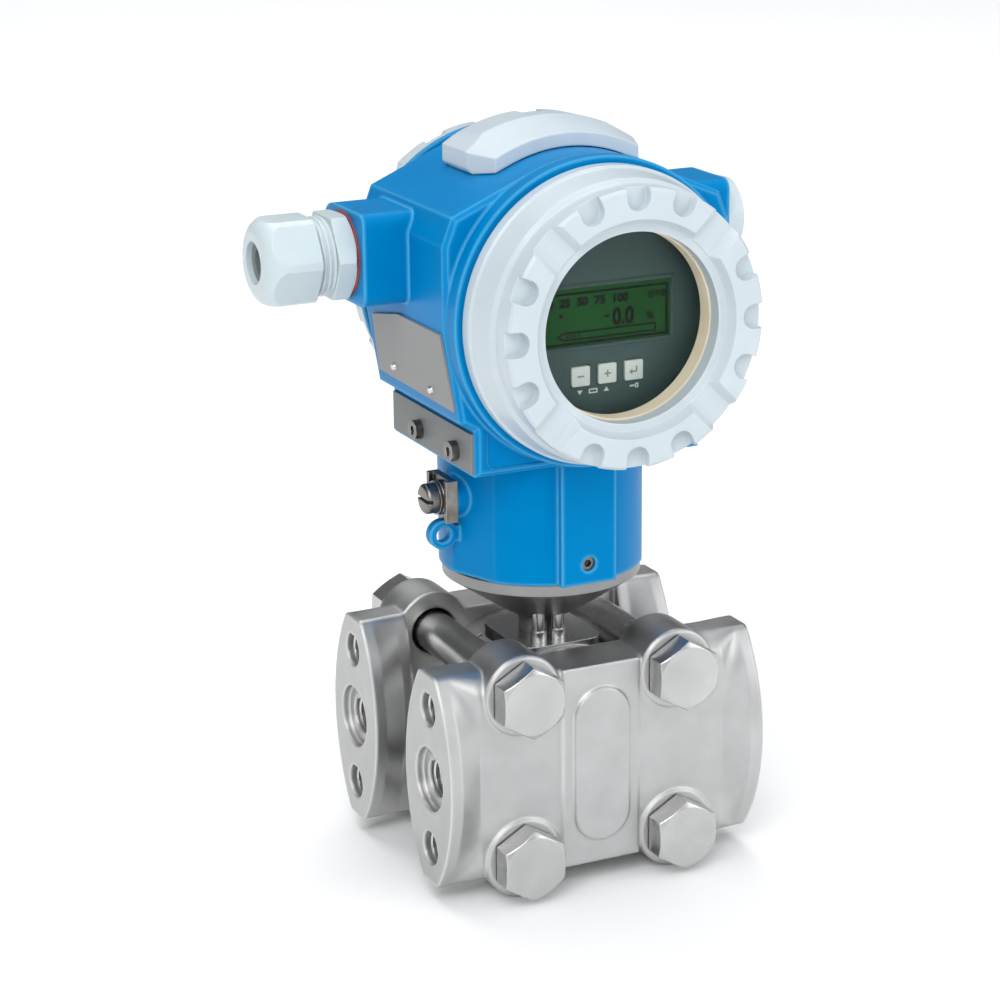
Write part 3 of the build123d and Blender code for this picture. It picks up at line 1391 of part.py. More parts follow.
# Labels and files, one for each piece
labelled = {
    "front_flange": front_flange,
    "rear_flange": rear_flange,
    "vent_plugs": vent_plugs,
    "flange_bolts": flange_bolts,
    "flange_nuts": flange_nuts,
    "cell_body": cell_body,
    "high_side_diaphragm": high_side_diaphragm,
    "low_side_diaphragm": low_side_diaphragm,
    "flange_seals": flange_seals,
    "fill_tubes": fill_tubes,
    "sensor_neck": sensor_neck,
    "neck_seal": neck_seal,
    "sensor_board": sensor_board,
    "housing": housing_drilled,
    "lock_screw": lock_screw,
    "ground_clamp": ground_clamp,
    "ground_washers": ground_washers,
    "ground_screw": ground_screw,
    "name_plate": name_plate,
    "plate_rivets": plate_rivets,
    "lower_plate": lower_plate,
    "lower_plate_screws": lower_plate_screws,
    "gland_seal_ring": gland_seal_ring,
    "gland_body": gland_body,
    "gland_insert": gland_insert,
    "gland_nut": gland_nut,
    "blind_plug_seal": blind_plug_seal,
    "blind_plug": blind_plug,
    "front_cover": front_cover,
    "window_cement": window_cement,
    "cover_window": cover_window,
    "front_cover_seal": front_cover_seal,
    "rear_cover": rear_cover,
    "rear_cover_seal": rear_cover_seal,
    "key_flap": key_flap,
    "flap_hinge_pin": flap_hinge_pin,
    "key_gasket": key_gasket,
    "display_bezel": display_bezel,
    "lcd_panel": lcd_panel,
    "display_board": display_board,
    "electronics_insert": electronics_insert,
    "insert_screws": insert_screws,
    "main_board": main_board,
    "terminal_block": terminal_block,
    "terminal_screws": terminal_screws,
    "inner_ground_screw": inner_ground_screw,
}

os.makedirs("parts", exist_ok=True)
for label, piece in labelled.items():
    piece.part.label = label
    export_step(piece.part, "parts/" + label + ".step")
for key in outer_keys + display_keys:
    export_step(key, "parts/" + key.label + ".step")
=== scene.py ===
"""Differential pressure transmitter: finishes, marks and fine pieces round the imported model."""

import math

import bmesh
import bpy
from mathutils import Matrix, Vector


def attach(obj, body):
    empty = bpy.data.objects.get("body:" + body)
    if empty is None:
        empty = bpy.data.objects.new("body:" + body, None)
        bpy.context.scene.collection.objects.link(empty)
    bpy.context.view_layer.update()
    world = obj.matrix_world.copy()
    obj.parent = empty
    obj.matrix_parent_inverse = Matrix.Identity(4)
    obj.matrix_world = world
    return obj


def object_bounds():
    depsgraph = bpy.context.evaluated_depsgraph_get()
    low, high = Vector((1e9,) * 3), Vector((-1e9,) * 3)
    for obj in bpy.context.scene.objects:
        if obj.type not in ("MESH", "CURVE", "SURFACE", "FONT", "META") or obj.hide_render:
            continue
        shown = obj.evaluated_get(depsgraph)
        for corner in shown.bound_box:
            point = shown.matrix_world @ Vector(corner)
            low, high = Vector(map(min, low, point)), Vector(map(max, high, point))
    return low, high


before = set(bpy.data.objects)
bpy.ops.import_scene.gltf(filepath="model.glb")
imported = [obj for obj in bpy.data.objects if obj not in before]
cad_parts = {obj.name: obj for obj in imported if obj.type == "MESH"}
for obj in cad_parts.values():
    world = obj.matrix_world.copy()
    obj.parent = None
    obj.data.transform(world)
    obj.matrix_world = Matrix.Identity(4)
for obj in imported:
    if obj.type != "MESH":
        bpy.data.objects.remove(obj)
cad_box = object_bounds()

MM = 0.001
AXIS_X = 48.0


def new_object(name, data):
    """A new object at the origin, in the scene."""
    made = bpy.data.objects.new(name, data)
    bpy.context.scene.collection.objects.link(made)
    return made


# Camera
def set_camera():
    """The camera stands where the photograph's did, with the same small roll."""
    azimuth = math.radians(-25.2031)
    elevation = math.radians(17.015)
    roll = math.radians(-0.6065)
    distance = 0.8
    target = Vector((35.2345, 0.0, 68.6292)) * MM
    back = Vector((
        math.sin(azimuth) * math.cos(elevation),
        -math.cos(azimuth) * math.cos(elevation),
        math.sin(elevation),
    ))
    right = Vector((math.cos(azimuth), math.sin(azimuth), 0.0))
    up = back.cross(right)
    tilted_right = math.cos(roll) * right + math.sin(roll) * up
    tilted_up = math.cos(roll) * up - math.sin(roll) * right
    data = bpy.data.cameras.new("camera")
    data.sensor_width = 36.0
    data.lens = 101.69
    data.clip_start = 0.01
    camera = new_object("camera", data)
    turn = Matrix((tilted_right, tilted_up, back)).transposed().to_4x4()
    camera.matrix_world = Matrix.Translation(target + back * distance) @ turn
    bpy.context.scene.camera = camera


# Sockets of a Mix node, which has several of the same name, by their places
MIX_FACTOR = 0
NUMBER_A = 2
NUMBER_B = 3
COLOUR_A = 6
COLOUR_B = 7
MIXED_NUMBER = 0
MIXED_COLOUR = 2


# Node helpers
def node(tree, kind, values=None, **settings):
    """A new shader node of that kind, with its settings and socket values."""
    made = tree.nodes.new("ShaderNode" + kind)
    for key, value in settings.items():
        setattr(made, key, value)
    for socket, value in (values or {}).items():
        made.inputs[socket].default_value = value
    return made


def join(tree, source, target):
    """A link from one node's socket to another's, each given as (node, socket)."""
    tree.links.new(source[0].outputs[source[1]], target[0].inputs[target[1]])


def maths(tree, operation, first, second, clamp=False):
    """A maths node on sockets or numbers. Returns (node, output)."""
    made = node(tree, "Math", operation=operation, use_clamp=clamp)
    for index, value in enumerate((first, second)):
        if isinstance(value, tuple):
            join(tree, value, (made, index))
        else:
            made.inputs[index].default_value = value
    return made, "Value"


def effect(name, inputs, outputs):
    """An empty shader node group with named sockets. Returns the tree and its two end nodes."""
    tree = bpy.data.node_groups.new(name, "ShaderNodeTree")
    for socket, value in inputs.items():
        made = tree.interface.new_socket(socket, in_out="INPUT", socket_type="NodeSocketFloat")
        made.default_value = value
    for socket, kind in outputs.items():
        tree.interface.new_socket(socket, in_out="OUTPUT", socket_type="NodeSocket" + kind)
    return tree, tree.nodes.new("NodeGroupInput"), tree.nodes.new("NodeGroupOutput")


# Shared effects
def make_rounded_edges():
    """Rounds the shading of sharp edges, and puts out a mask that is white along them, where finishes lay
    a painted highlight.
    """
    tree, start, end = effect(
        "rounded_edges",
        {"Radius": 0.0004, "Strength": 3.0},
        {"Edge": "Float", "Normal": "Vector"},
    )
    bevel = node(tree, "Bevel", samples=6)
    join(tree, (start, "Radius"), (bevel, "Radius"))
    surface = node(tree, "NewGeometry")
    agreement = node(tree, "VectorMath", operation="DOT_PRODUCT")
    join(tree, (bevel, "Normal"), (agreement, 0))
    join(tree, (surface, "Normal"), (agreement, 1))
    bend = maths(tree, "SUBTRACT", 1.0, (agreement, "Value"))
    edge = maths(tree, "MULTIPLY", bend, (start, "Strength"), clamp=True)
    join(tree, edge, (end, "Edge"))
    join(tree, (bevel, "Normal"), (end, "Normal"))
    return tree


def make_surface_grain():
    """Fine grain for the surface's height, and wide soft patches for its colour and gloss."""
    tree, start, end = effect(
        "surface_grain",
        {"Grain Scale": 3000.0, "Patch Scale": 60.0},
        {"Height": "Float", "Patches": "Float"},
    )
    place = node(tree, "TexCoord"), "Object"
    grain = node(tree, "TexNoise", {"Detail": 3.0, "Roughness": 0.6})
    join(tree, place, (grain, "Vector"))
    join(tree, (start, "Grain Scale"), (grain, "Scale"))
    patches = node(tree, "TexNoise", {"Detail": 2.0, "Roughness": 0.5})
    join(tree, place, (patches, "Vector"))
    join(tree, (start, "Patch Scale"), (patches, "Scale"))
    join(tree, (grain, "Fac"), (end, "Height"))
    join(tree, (patches, "Fac"), (end, "Patches"))
    return tree


ROUNDED_EDGES = make_rounded_edges()
SURFACE_GRAIN = make_surface_grain()


def group_node(tree, group, **values):
    """A shared effect placed in a material, with that material's own values."""
    made = tree.nodes.new("ShaderNodeGroup")
    made.node_tree = group
    for socket, value in values.items():
        made.inputs[socket.replace("_", " ")].default_value = value
    return made


def blend_colours(tree, factor, first, second):
    """Mixes two colours by a factor socket. The first is three numbers or a socket, the second numbers."""
    made = node(tree, "Mix", {COLOUR_B: (*second, 1.0)}, data_type="RGBA")
    join(tree, factor, (made, MIX_FACTOR))
    if isinstance(first[0], float):
        made.inputs[COLOUR_A].default_value = (*first, 1.0)
    else:
        join(tree, first, (made, COLOUR_A))
    return made, MIXED_COLOUR


def spread(tree, noise, low, high):
    """A noise socket, which stays well inside 0 to 1, mapped to low to high."""
    made = node(tree, "MapRange", {"From Min": 0.25, "From Max": 0.75, "To Min": low, "To Max": high})
    join(tree, noise, (made, "Value"))
    return made, "Result"


def finish(
    name,
    dark,
    light,
    rough=(0.3, 0.4),
    metal=0.0,
    grain_scale=3000.0,
    grain_height=0.03,
    patch_scale=60.0,
    edge_radius=0.0004,
    painted_edge_highlight=None,
    edge_strength=3.0,
    sockets=None,
):
    """A material with patchy colour and gloss, fine grain, and rounded edges with a painted highlight, a
    lighter colour laid along them.
    """
    material = bpy.data.materials.new(name)
    material.use_nodes = True
    tree = material.node_tree
    shader = tree.nodes["Principled BSDF"]
    grain = group_node(tree, SURFACE_GRAIN, Grain_Scale=grain_scale, Patch_Scale=patch_scale)
    edges = group_node(tree, ROUNDED_EDGES, Radius=edge_radius, Strength=edge_strength)
    shade = spread(tree, (grain, "Patches"), 0.0, 1.0)
    colour = blend_colours(tree, shade, dark, light)
    # Painted highlight: where an edge colour is given, a lighter colour is laid along the edges by the
    # edge mask
    if painted_edge_highlight:
        colour = blend_colours(tree, (edges, "Edge"), colour, painted_edge_highlight)
    join(tree, colour, (shader, "Base Color"))
    join(tree, spread(tree, (grain, "Patches"), *rough), (shader, "Roughness"))
    bump = node(tree, "Bump", {"Strength": 1.0, "Distance": grain_height * MM})
    join(tree, (grain, "Height"), (bump, "Height"))
    join(tree, (edges, "Normal"), (bump, "Normal"))
    join(tree, (bump, "Normal"), (shader, "Normal"))
    shader.inputs["Metallic"].default_value = metal
    for socket, value in (sockets or {}).items():
        shader.inputs[socket].default_value = value
    return material


# Finishes
blue_paint = finish(
    "blue_paint", (0.0, 0.188, 0.462), (0.0, 0.208, 0.492), rough=(0.34, 0.42),
    grain_scale=700.0, grain_height=0.008, edge_radius=0.0018, painted_edge_highlight=(0.10, 0.47, 0.81),
    edge_strength=5.5,
    sockets={"Specular IOR Level": 0.2, "Specular Tint": (0.0, 0.4, 1.0, 1.0)},
)
cover_paint = finish(
    "cover_paint", (0.50, 0.57, 0.605), (0.54, 0.61, 0.645), rough=(0.3, 0.4),
    grain_scale=1200.0, grain_height=0.01, edge_radius=0.0006, painted_edge_highlight=(0.74, 0.79, 0.83),
    sockets={"Coat Weight": 0.3, "Coat Roughness": 0.15},
)
flap_plastic = finish(
    "flap_plastic", (0.50, 0.575, 0.625), (0.535, 0.61, 0.66), rough=(0.3, 0.38),
    grain_scale=2500.0, grain_height=0.006, edge_radius=0.0008, painted_edge_highlight=(0.74, 0.79, 0.84),
)
gland_plastic = finish(
    "gland_plastic", (0.51, 0.595, 0.62), (0.56, 0.645, 0.67), rough=(0.28, 0.36),
    grain_scale=2500.0, grain_height=0.006, edge_radius=0.0006, painted_edge_highlight=(0.78, 0.83, 0.86),
)
flange_steel = finish(
    "flange_steel", (0.465, 0.465, 0.46), (0.555, 0.555, 0.55), rough=(0.38, 0.48), metal=1.0,
    grain_scale=900.0, grain_height=0.03, patch_scale=90.0, edge_radius=0.0015,
    painted_edge_highlight=(0.86, 0.86, 0.855),
)
turned_steel = finish(
    "turned_steel", (0.50, 0.50, 0.50), (0.60, 0.60, 0.595), rough=(0.24, 0.32), metal=1.0,
    grain_scale=2600.0, grain_height=0.008, edge_radius=0.0004, painted_edge_highlight=(0.75, 0.75, 0.75),
)
bolt_steel = finish(
    "bolt_steel", (0.47, 0.47, 0.465), (0.60, 0.60, 0.59), rough=(0.22, 0.32), metal=1.0,
    grain_scale=2200.0, grain_height=0.02, edge_radius=0.0006, painted_edge_highlight=(0.88, 0.88, 0.87),
)
neck_steel = finish(
    "neck_steel", (0.25, 0.25, 0.25), (0.34, 0.34, 0.335), rough=(0.34, 0.44), metal=1.0,
    grain_scale=2600.0, grain_height=0.01, edge_radius=0.0005, painted_edge_highlight=(0.45, 0.45, 0.45),
)
dull_steel = finish(
    "dull_steel", (0.12, 0.11, 0.10), (0.28, 0.27, 0.25), rough=(0.26, 0.4), metal=1.0,
    grain_scale=3000.0, grain_height=0.01, patch_scale=250.0, edge_radius=0.0003,
    painted_edge_highlight=(0.66, 0.65, 0.64),
)
small_steel = finish(
    "small_steel", (0.55, 0.55, 0.55), (0.68, 0.68, 0.68), rough=(0.2, 0.3), metal=1.0,
    grain_scale=5000.0, grain_height=0.004, edge_radius=0.0002, painted_edge_highlight=(0.8, 0.8, 0.8),
)
plate_metal = finish(
    "plate_metal", (0.236, 0.234, 0.23), (0.26, 0.258, 0.254), rough=(0.45, 0.55),
    grain_scale=5000.0, grain_height=0.003, edge_radius=0.0002, painted_edge_highlight=(0.5, 0.5, 0.5),
)
dull_plate_metal = finish(
    "dull_plate_metal", (0.153, 0.16, 0.156), (0.18, 0.187, 0.183), rough=(0.42, 0.52),
    grain_scale=5000.0, grain_height=0.003, edge_radius=0.0002, painted_edge_highlight=(0.45, 0.46, 0.46),
)
seal_red = finish(
    "seal_red", (0.24, 0.045, 0.04), (0.33, 0.07, 0.06), rough=(0.5, 0.6), edge_radius=0.0002,
)
seal_black = finish(
    "seal_black", (0.015, 0.015, 0.015), (0.03, 0.03, 0.03), rough=(0.5, 0.62), edge_radius=0.0002,
)
insert_rubber = finish(
    "insert_rubber", (0.14, 0.17, 0.17), (0.2, 0.23, 0.23), rough=(0.5, 0.62), edge_radius=0.0003,
)
cement = finish(
    "cement", (0.74, 0.64, 0.47), (0.88, 0.79, 0.60), rough=(0.45, 0.6),
    grain_scale=1500.0, grain_height=0.05, edge_radius=0.0002,
)
bezel_plastic = finish(
    "bezel_plastic", (0.048, 0.086, 0.086), (0.058, 0.100, 0.100), rough=(0.5, 0.6),
    grain_scale=2500.0, grain_height=0.0015, edge_radius=0.0003, painted_edge_highlight=(0.12, 0.18, 0.18),
    sockets={"Specular IOR Level": 0.3},
)
lcd_face = finish(
    "lcd_face", (0.006, 0.062, 0.011), (0.014, 0.096, 0.022), rough=(0.34, 0.42),
    grain_scale=6000.0, grain_height=0.0, patch_scale=45.0, edge_radius=0.0001,
    sockets={"Specular IOR Level": 0.05},
)
key_plastic = finish(
    "key_plastic", (0.68, 0.69, 0.67), (0.76, 0.77, 0.75), rough=(0.4, 0.5),
    grain_scale=5000.0, grain_height=0.003, edge_radius=0.0003,
)
outer_key_plastic = finish(
    "outer_key_plastic", (0.02, 0.02, 0.022), (0.035, 0.035, 0.038), rough=(0.4, 0.5),
    edge_radius=0.0003,
)
board_laminate = finish(
    "board_laminate", (0.012, 0.11, 0.045), (0.02, 0.16, 0.07), rough=(0.35, 0.45),
    edge_radius=0.0001,
)
insert_plastic = finish(
    "insert_plastic", (0.03, 0.03, 0.033), (0.05, 0.05, 0.054), rough=(0.45, 0.55),
    edge_radius=0.0003,
)
terminal_plastic = finish(
    "terminal_plastic", (0.03, 0.16, 0.08), (0.05, 0.2, 0.1), rough=(0.4, 0.5),
    edge_radius=0.0003,
)


def make_window_glass():
    """Clear glass for the window, with faint wipe marks in its gloss."""
    material = bpy.data.materials.new("window_glass")
    material.use_nodes = True
    tree = material.node_tree
    shader = tree.nodes["Principled BSDF"]
    shader.inputs["Base Color"].default_value = (0.94, 0.98, 0.96, 1.0)
    shader.inputs["Transmission Weight"].default_value = 1.0
    shader.inputs["IOR"].default_value = 1.15
    grain = group_node(tree, SURFACE_GRAIN, Grain_Scale=3000.0, Patch_Scale=40.0)
    join(tree, spread(tree, (grain, "Patches"), 0.0, 0.03), (shader, "Roughness"))
    return material


window_glass = make_window_glass()

FINISH_OF_NODE = {
    "front_flange": flange_steel,
    "rear_flange": flange_steel,
    "vent_plugs": bolt_steel,
    "flange_bolts": bolt_steel,
    "flange_nuts": bolt_steel,
    "cell_body": turned_steel,
    "high_side_diaphragm": small_steel,
    "low_side_diaphragm": small_steel,
    "flange_seals": seal_black,
    "fill_tubes": small_steel,
    "sensor_neck": neck_steel,
    "neck_seal": seal_black,
    "sensor_board": board_laminate,
    "housing": blue_paint,
    "lock_screw": dull_steel,
    "ground_clamp": dull_steel,
    "ground_washers": dull_steel,
    "ground_screw": dull_steel,
    "name_plate": plate_metal,
    "plate_rivets": small_steel,
    "lower_plate": dull_plate_metal,
    "lower_plate_screws": dull_steel,
    "gland_seal_ring": seal_red,
    "gland_body": gland_plastic,
    "gland_insert": insert_rubber,
    "gland_nut": gland_plastic,
    "blind_plug_seal": seal_red,
    "blind_plug": gland_plastic,
    "front_cover": cover_paint,
    "window_cement": cement,
    "cover_window": window_glass,
    "front_cover_seal": seal_black,
    "rear_cover": cover_paint,
    "rear_cover_seal": seal_black,
    "key_flap": flap_plastic,
    "flap_hinge_pin": small_steel,
    "key_gasket": seal_black,
    "outer_key_left": outer_key_plastic,
    "outer_key_middle": outer_key_plastic,
    "outer_key_right": outer_key_plastic,
    "display_bezel": bezel_plastic,
    "lcd_panel": lcd_face,
    "display_board": board_laminate,
    "display_key_left": key_plastic,
    "display_key_middle": key_plastic,
    "display_key_right": key_plastic,
    "electronics_insert": insert_plastic,
    "insert_screws": small_steel,
    "main_board": board_laminate,
    "terminal_block": terminal_plastic,
    "terminal_screws": small_steel,
    "inner_ground_screw": small_steel,
}
for node_name, material in FINISH_OF_NODE.items():
    for material_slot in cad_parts[node_name].material_slots:
        material_slot.material = material


# Finishes of the display's small marks
lcd_ink = finish(
    "lcd_ink", (0.0005, 0.004, 0.001), (0.002, 0.009, 0.002), rough=(0.4, 0.5),
    grain_scale=6000.0, grain_height=0.0, edge_radius=0.0, sockets={"Specular IOR Level": 0.1},
)
key_ink = finish(
    "key_ink", (0.22, 0.23, 0.23), (0.30, 0.31, 0.31), rough=(0.5, 0.6),
    grain_scale=6000.0, grain_height=0.001, edge_radius=0.0,
)
white_print = finish(
    "white_print", (0.62, 0.66, 0.67), (0.72, 0.75, 0.76), rough=(0.5, 0.6),
    grain_scale=6000.0, grain_height=0.001, edge_radius=0.0,
)


# New pieces
def add_piece(name, shape, body, material, smooth_angle=None):
    """An object at the origin from a bmesh in millimetres, which it uses up. It rides on a body."""
    bmesh.ops.remove_doubles(shape, verts=shape.verts, dist=0.0005)
    bmesh.ops.recalc_face_normals(shape, faces=shape.faces)
    bmesh.ops.scale(shape, verts=shape.verts, vec=(MM, MM, MM))
    mesh = bpy.data.meshes.new(name)
    shape.to_mesh(mesh)
    shape.free()
    if smooth_angle is not None:
        mesh.shade_smooth()
        mesh.set_sharp_from_angle(angle=math.radians(smooth_angle))
    mesh.materials.append(material)
    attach(new_object(name, mesh), body)


def outline_face(shape, points):
    """A single face through the points."""
    face = shape.faces.new([shape.verts.new(point) for point in points])
    face.normal_update()
    return face


def thicken(shape, faces, rise):
    """Extrudes faces to the front and keeps the first ones as the back. Returns the front's corners."""
    made = bmesh.ops.extrude_face_region(shape, geom=faces, use_keep_orig=True)
    moved = [part for part in made["geom"] if isinstance(part, bmesh.types.BMVert)]
    bmesh.ops.translate(shape, verts=moved, vec=(0, -rise, 0))
    return moved


def border(shape, face, width):
    """Keeps only a border of that width inside a face's edges. Returns the border's faces."""
    made = bmesh.ops.inset_region(
        shape, faces=[face], thickness=width, use_boundary=True, use_even_offset=True
    )
    bmesh.ops.delete(shape, geom=[face], context="FACES")
    return made["faces"]


def front_points(outline, y):
    """Points given as x and z, on the plane at that y."""
    return [(x, y, z) for x, z in outline]


def rectangle(x, z, width, height):
    """A rectangle's corners round a centre, as x and z."""
    return (
        (x - width / 2, z - height / 2),
        (x + width / 2, z - height / 2),
        (x + width / 2, z + height / 2),
        (x - width / 2, z + height / 2),
    )


def front_marks(name, outlines, y, rise, body, material, line=None):
    """Flat marks on a plane that faces the front. With line, only their outline of that width."""
    shape = bmesh.new()
    for outline in outlines:
        face = outline_face(shape, front_points(outline, y))
        thicken(shape, border(shape, face, line) if line else [face], rise)
    add_piece(name, shape, body, material)


def front_digits(name, text, size, x, z, y, rise, body, material, stretch, weight):
    """Digits on a plane that faces the front, from their lower left corner, widened by a stretch.

    The weight is how far their outlines grow, in millimetres.
    """
    curve = bpy.data.curves.new(name + "_line", "FONT")
    curve.body = text
    curve.size = size * MM
    curve.extrude = rise * MM / 2
    curve.offset = weight * MM
    holder = new_object(name + "_line", curve)
    bpy.context.view_layer.update()
    mesh = bpy.data.meshes.new_from_object(holder)
    bpy.data.objects.remove(holder)
    upright = Matrix.Rotation(math.radians(90.0), 4, "X")
    place = Matrix.Translation(Vector((x, y, z)) * MM)
    mesh.transform(place @ upright @ Matrix.Diagonal((stretch, 1.0, 1.0, 1.0)))
    mesh.materials.clear()
    mesh.materials.append(material)
    mesh.name = name
    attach(new_object(name, mesh), body)


def thread(name, centre, axis, radius, rise, pitch, turns, body, material, turn_steps=40):
    """A screw thread's ridge on a cylinder, or inside a hole where the rise is negative."""
    shape = bmesh.new()
    along = Vector(axis).normalized()
    out = along.orthogonal().normalized()
    base = 0.42 * pitch
    crest = 0.12 * pitch
    sink = -0.05 if rise > 0 else 0.05
    profile = ((-base, sink), (-crest, rise), (crest, rise), (base, sink))
    points = [shape.verts.new(Vector(centre) + along * a + out * (radius + r)) for a, r in profile]
    edges = [shape.edges.new(pair) for pair in zip(points, points[1:] + points[:1])]
    bmesh.ops.spin(
        shape, geom=edges + points, cent=centre, axis=along, angle=math.tau * turns,
        steps=int(turn_steps * turns), dvec=along * pitch / turn_steps, use_merge=False,
    )
    bmesh.ops.holes_fill(shape, edges=[edge for edge in shape.edges if edge.is_boundary])
    add_piece(name, shape, body, material, 40.0)


# Display: planes that its marks lie on, and heights of its rows
PANEL_Y = -40.0
LCD_Y = -39.6
KEY_Y = -40.7
PRINT = 0.04
LCD_Z = 129.4
KEY_Z = 113.6
KEY_PITCH = 8.0
LEGEND_Z = 109.1


def add_lcd_marks():
    """A scale's digits, a reading, a bar and small signs, inside a frame line."""
    reading_x = 50.0
    bar_left, bar_start, bar_right = 33.2, 35.3, 63.2
    bar_low, bar_high = 123.4, 125.9
    bar_middle = (bar_low + bar_high) / 2
    first_step, step_pitch = 36.6, 1.15

    def lines(name, outlines, line=None):
        front_marks(name, outlines, LCD_Y, PRINT, "display", lcd_ink, line)

    def digits(name, text, size, x, z, stretch, weight):
        front_digits(name, text, size, x, z, LCD_Y - PRINT, PRINT, "display", lcd_ink, stretch, weight)

    lines("lcd_frame_line", [rectangle(AXIS_X, LCD_Z, 37.4, 14.2)], 0.7)
    digits("lcd_scale_digits", "0  25  50  75  100", 3.1, 30.6, 132.7, 1.08, 0.2)
    digits("lcd_reading", "0.0", 6.4, reading_x, 126.5, 0.82, 0.26)
    lines("lcd_sign", [rectangle(reading_x - 1.6, 129.1, 1.7, 0.7)])
    digits("lcd_percent", "%", 3.3, reading_x + 10.0, 126.8, 1.25, 0.08)
    status_boxes = ((61.6, 133.6, 1.5, 2.0), (63.6, 133.9, 1.5, 1.5), (65.3, 133.6, 1.2, 2.0))
    lines("lcd_status_boxes", [rectangle(*box) for box in status_boxes], 0.5)
    lines("lcd_status_dot", [rectangle(34.7, 130.4, 1.2, 1.1)])
    bar_outline = (
        (bar_left, bar_middle),
        (bar_start, bar_low),
        (bar_right, bar_low),
        (bar_right, bar_high),
        (bar_start, bar_high),
    )
    lines("lcd_bar_outline", [bar_outline], 0.55)
    steps = [rectangle(first_step + step_pitch * step, bar_middle, 0.6, 1.1) for step in range(4)]
    lines("lcd_bar_steps", steps)


def add_key_marks():
    """A minus, a plus and an enter arrow on the keys, and small signs printed under them."""
    stroke = 0.45
    left, middle, right = (AXIS_X + KEY_PITCH * column for column in (-1, 0, 1))
    minus = [rectangle(left, KEY_Z, 2.0, stroke)]
    plus = [rectangle(middle, KEY_Z, 2.0, stroke), rectangle(middle, KEY_Z, stroke, 2.0)]
    arrow_z = KEY_Z - 0.4
    enter = [
        rectangle(right + 0.1, arrow_z, 1.7, stroke),
        rectangle(right + 0.75, KEY_Z + 0.3, stroke, 1.6),
        ((right - 1.5, arrow_z), (right - 0.5, arrow_z - 0.8), (right - 0.5, arrow_z + 0.8)),
    ]
    front_marks("key_mark_minus", minus, KEY_Y, PRINT, "display_key_left", key_ink)
    front_marks("key_mark_plus", plus, KEY_Y, PRINT, "display_key_middle", key_ink)
    front_marks("key_mark_enter", enter, KEY_Y, PRINT, "display_key_right", key_ink)
    arrows = [
        ((left - 0.8, 109.6), (left, 108.4), (left + 0.8, 109.6)),
        ((middle - 0.8, 108.6), (middle + 0.8, 108.6), (middle, 109.8)),
        rectangle(right - 0.2, LEGEND_Z, 1.5, 0.5),
    ]
    boxes = [rectangle(44.0, LEGEND_Z, 2.6, 1.3), rectangle(right + 1.2, LEGEND_Z, 1.0, 1.3)]
    front_marks("panel_print_arrows", arrows, PANEL_Y, PRINT, "display", white_print)
    front_marks("panel_print_boxes", boxes, PANEL_Y, PRINT, "display", white_print, line=0.35)


def add_lcd_surround():
    """A low bevelled rim round the LCD's opening in the bezel."""
    opening_z, length, height = 129.75, 41.0, 18.1
    width, rise = 1.05, 0.35
    shape = bmesh.new()
    face = outline_face(shape, front_points(rectangle(AXIS_X, opening_z, length, height), PANEL_Y))
    raised = thicken(shape, border(shape, face, width), rise)
    crest = [edge for edge in shape.edges if all(vert in raised for vert in edge.verts)]
    bmesh.ops.bevel(
        shape, geom=crest, offset=0.3, offset_type="OFFSET", affect="EDGES", segments=2, profile=0.5,
        material=-1,
    )
    add_piece("lcd_surround", shape, "display", bezel_plastic, 40.0)


# Housing
def add_block_frame_line():
    """A thin raised line with rounded corners round the foot of the housing's front."""
    front_y = -31.0
    half_length = 31.3
    foot, top = 87.7, 98.6
    corner = 2.6
    corner_steps = 6
    width, rise = 0.5, 0.2

    def path(inset):
        radius = corner - inset
        points = [(AXIS_X - half_length + inset, top)]
        for side, start in ((-1, 180.0), (1, 270.0)):
            for step in range(corner_steps + 1):
                angle = math.radians(start + 90.0 / corner_steps * step)
                points.append((
                    AXIS_X + side * (half_length - corner) + radius * math.cos(angle),
                    foot + corner + radius * math.sin(angle),
                ))
        return points + [(AXIS_X + half_length - inset, top)]

    outline = path(0.0) + path(width)[::-1]
    front_marks("block_frame_line", [outline], front_y, rise, "housing", blue_paint)


# Threads that show from outside
def add_threads():
    """The cable gland's thread, and one in each port and fastening hole of both flanges."""
    leftward, rightward = (-1, 0, 0), (1, 0, 0)
    port_y, hole_z = 27.0, 20.65
    thread(
        "gland_thread", (-14.4, 5.9, 143.0), leftward,
        radius=10.4, rise=0.55, pitch=1.5, turns=2.7, body="housing", material=gland_plastic,
    )
    for side_name, side_y in (("high", -port_y), ("low", port_y)):
        thread(
            side_name + "_port_thread", (3.2, side_y, 0.0), rightward,
            radius=5.6, rise=-0.5, pitch=1.4, turns=7, body="sensor", material=small_steel,
        )
        for level_name, level_z in (("upper", hole_z), ("lower", -hole_z)):
            thread(
                side_name + "_" + level_name + "_hole_thread", (1.6, side_y, level_z), rightward,
                radius=4.95, rise=-0.45, pitch=1.4, turns=8, body="sensor", material=small_steel,
                turn_steps=32,
            )


add_lcd_marks()
add_key_marks()
add_lcd_surround()
add_block_frame_line()
add_threads()


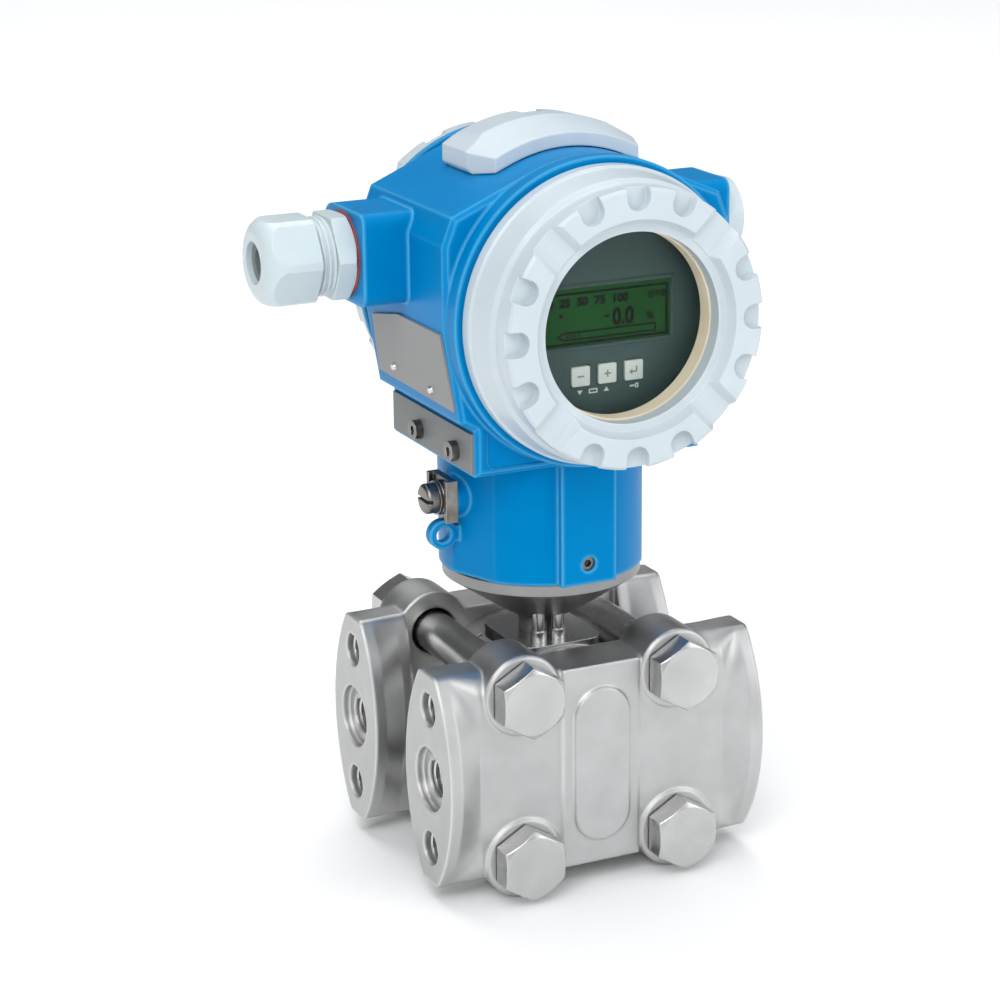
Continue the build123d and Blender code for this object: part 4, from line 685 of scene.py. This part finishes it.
# Studio
def make_studio():
    """A pale floor, a soft world and three large lights."""
    shape = bmesh.new()
    bmesh.ops.create_grid(shape, x_segments=1, y_segments=1, size=6.0)
    bmesh.ops.translate(shape, verts=shape.verts, vec=(0, 0, cad_box[0][2] - 0.0002))
    mesh = bpy.data.meshes.new("floor")
    shape.to_mesh(mesh)
    shape.free()
    floor = new_object("floor", mesh)
    mesh.materials.append(finish(
        "floor_paper", (0.93, 0.93, 0.93), (0.95, 0.95, 0.95), rough=(0.7, 0.8),
        grain_scale=400.0, grain_height=0.01, patch_scale=2.0, edge_radius=0.0,
    ))

    # Metal that faces up mirrors the back of the world, which is darker
    world = bpy.data.worlds.new("studio")
    bpy.context.scene.world = world
    world.use_nodes = True
    tree = world.node_tree
    backdrop = tree.nodes["Background"]
    backdrop.inputs["Color"].default_value = (0.95, 0.97, 1.0, 1.0)
    parts = node(tree, "SeparateXYZ")
    join(tree, (node(tree, "TexCoord"), "Generated"), (parts, "Vector"))
    front_to_back = node(
        tree, "MapRange", {"From Min": -0.3, "From Max": 0.6, "To Min": 0.8, "To Max": 0.14},
        interpolation_type="SMOOTHSTEP",
    )
    join(tree, (parts, "Y"), (front_to_back, "Value"))
    seen_or_lighting = node(tree, "Mix", {NUMBER_B: 0.7}, data_type="FLOAT")
    join(tree, (node(tree, "LightPath"), "Is Camera Ray"), (seen_or_lighting, MIX_FACTOR))
    join(tree, (front_to_back, "Result"), (seen_or_lighting, NUMBER_A))
    join(tree, (seen_or_lighting, MIXED_NUMBER), (backdrop, "Strength"))

    middle = Vector((0.04, 0.0, 0.09))
    for name, place, size, power in (
        ("key_light", (-1.7, -2.1, 2.5), 2.2, 60.0),
        ("fill_light", (2.6, -2.2, 1.4), 2.0, 25.0),
        ("top_light", (0.1, 1.3, 3.6), 3.0, 86.0),
    ):
        data = bpy.data.lights.new(name, "AREA")
        data.shape = "SQUARE"
        data.size = size
        data.energy = power
        light = new_object(name, data)
        light.location = place
        light.rotation_euler = (middle - Vector(place)).to_track_quat("-Z", "Y").to_euler()
    bpy.context.scene.view_settings.view_transform = "Standard"


set_camera()
make_studio()
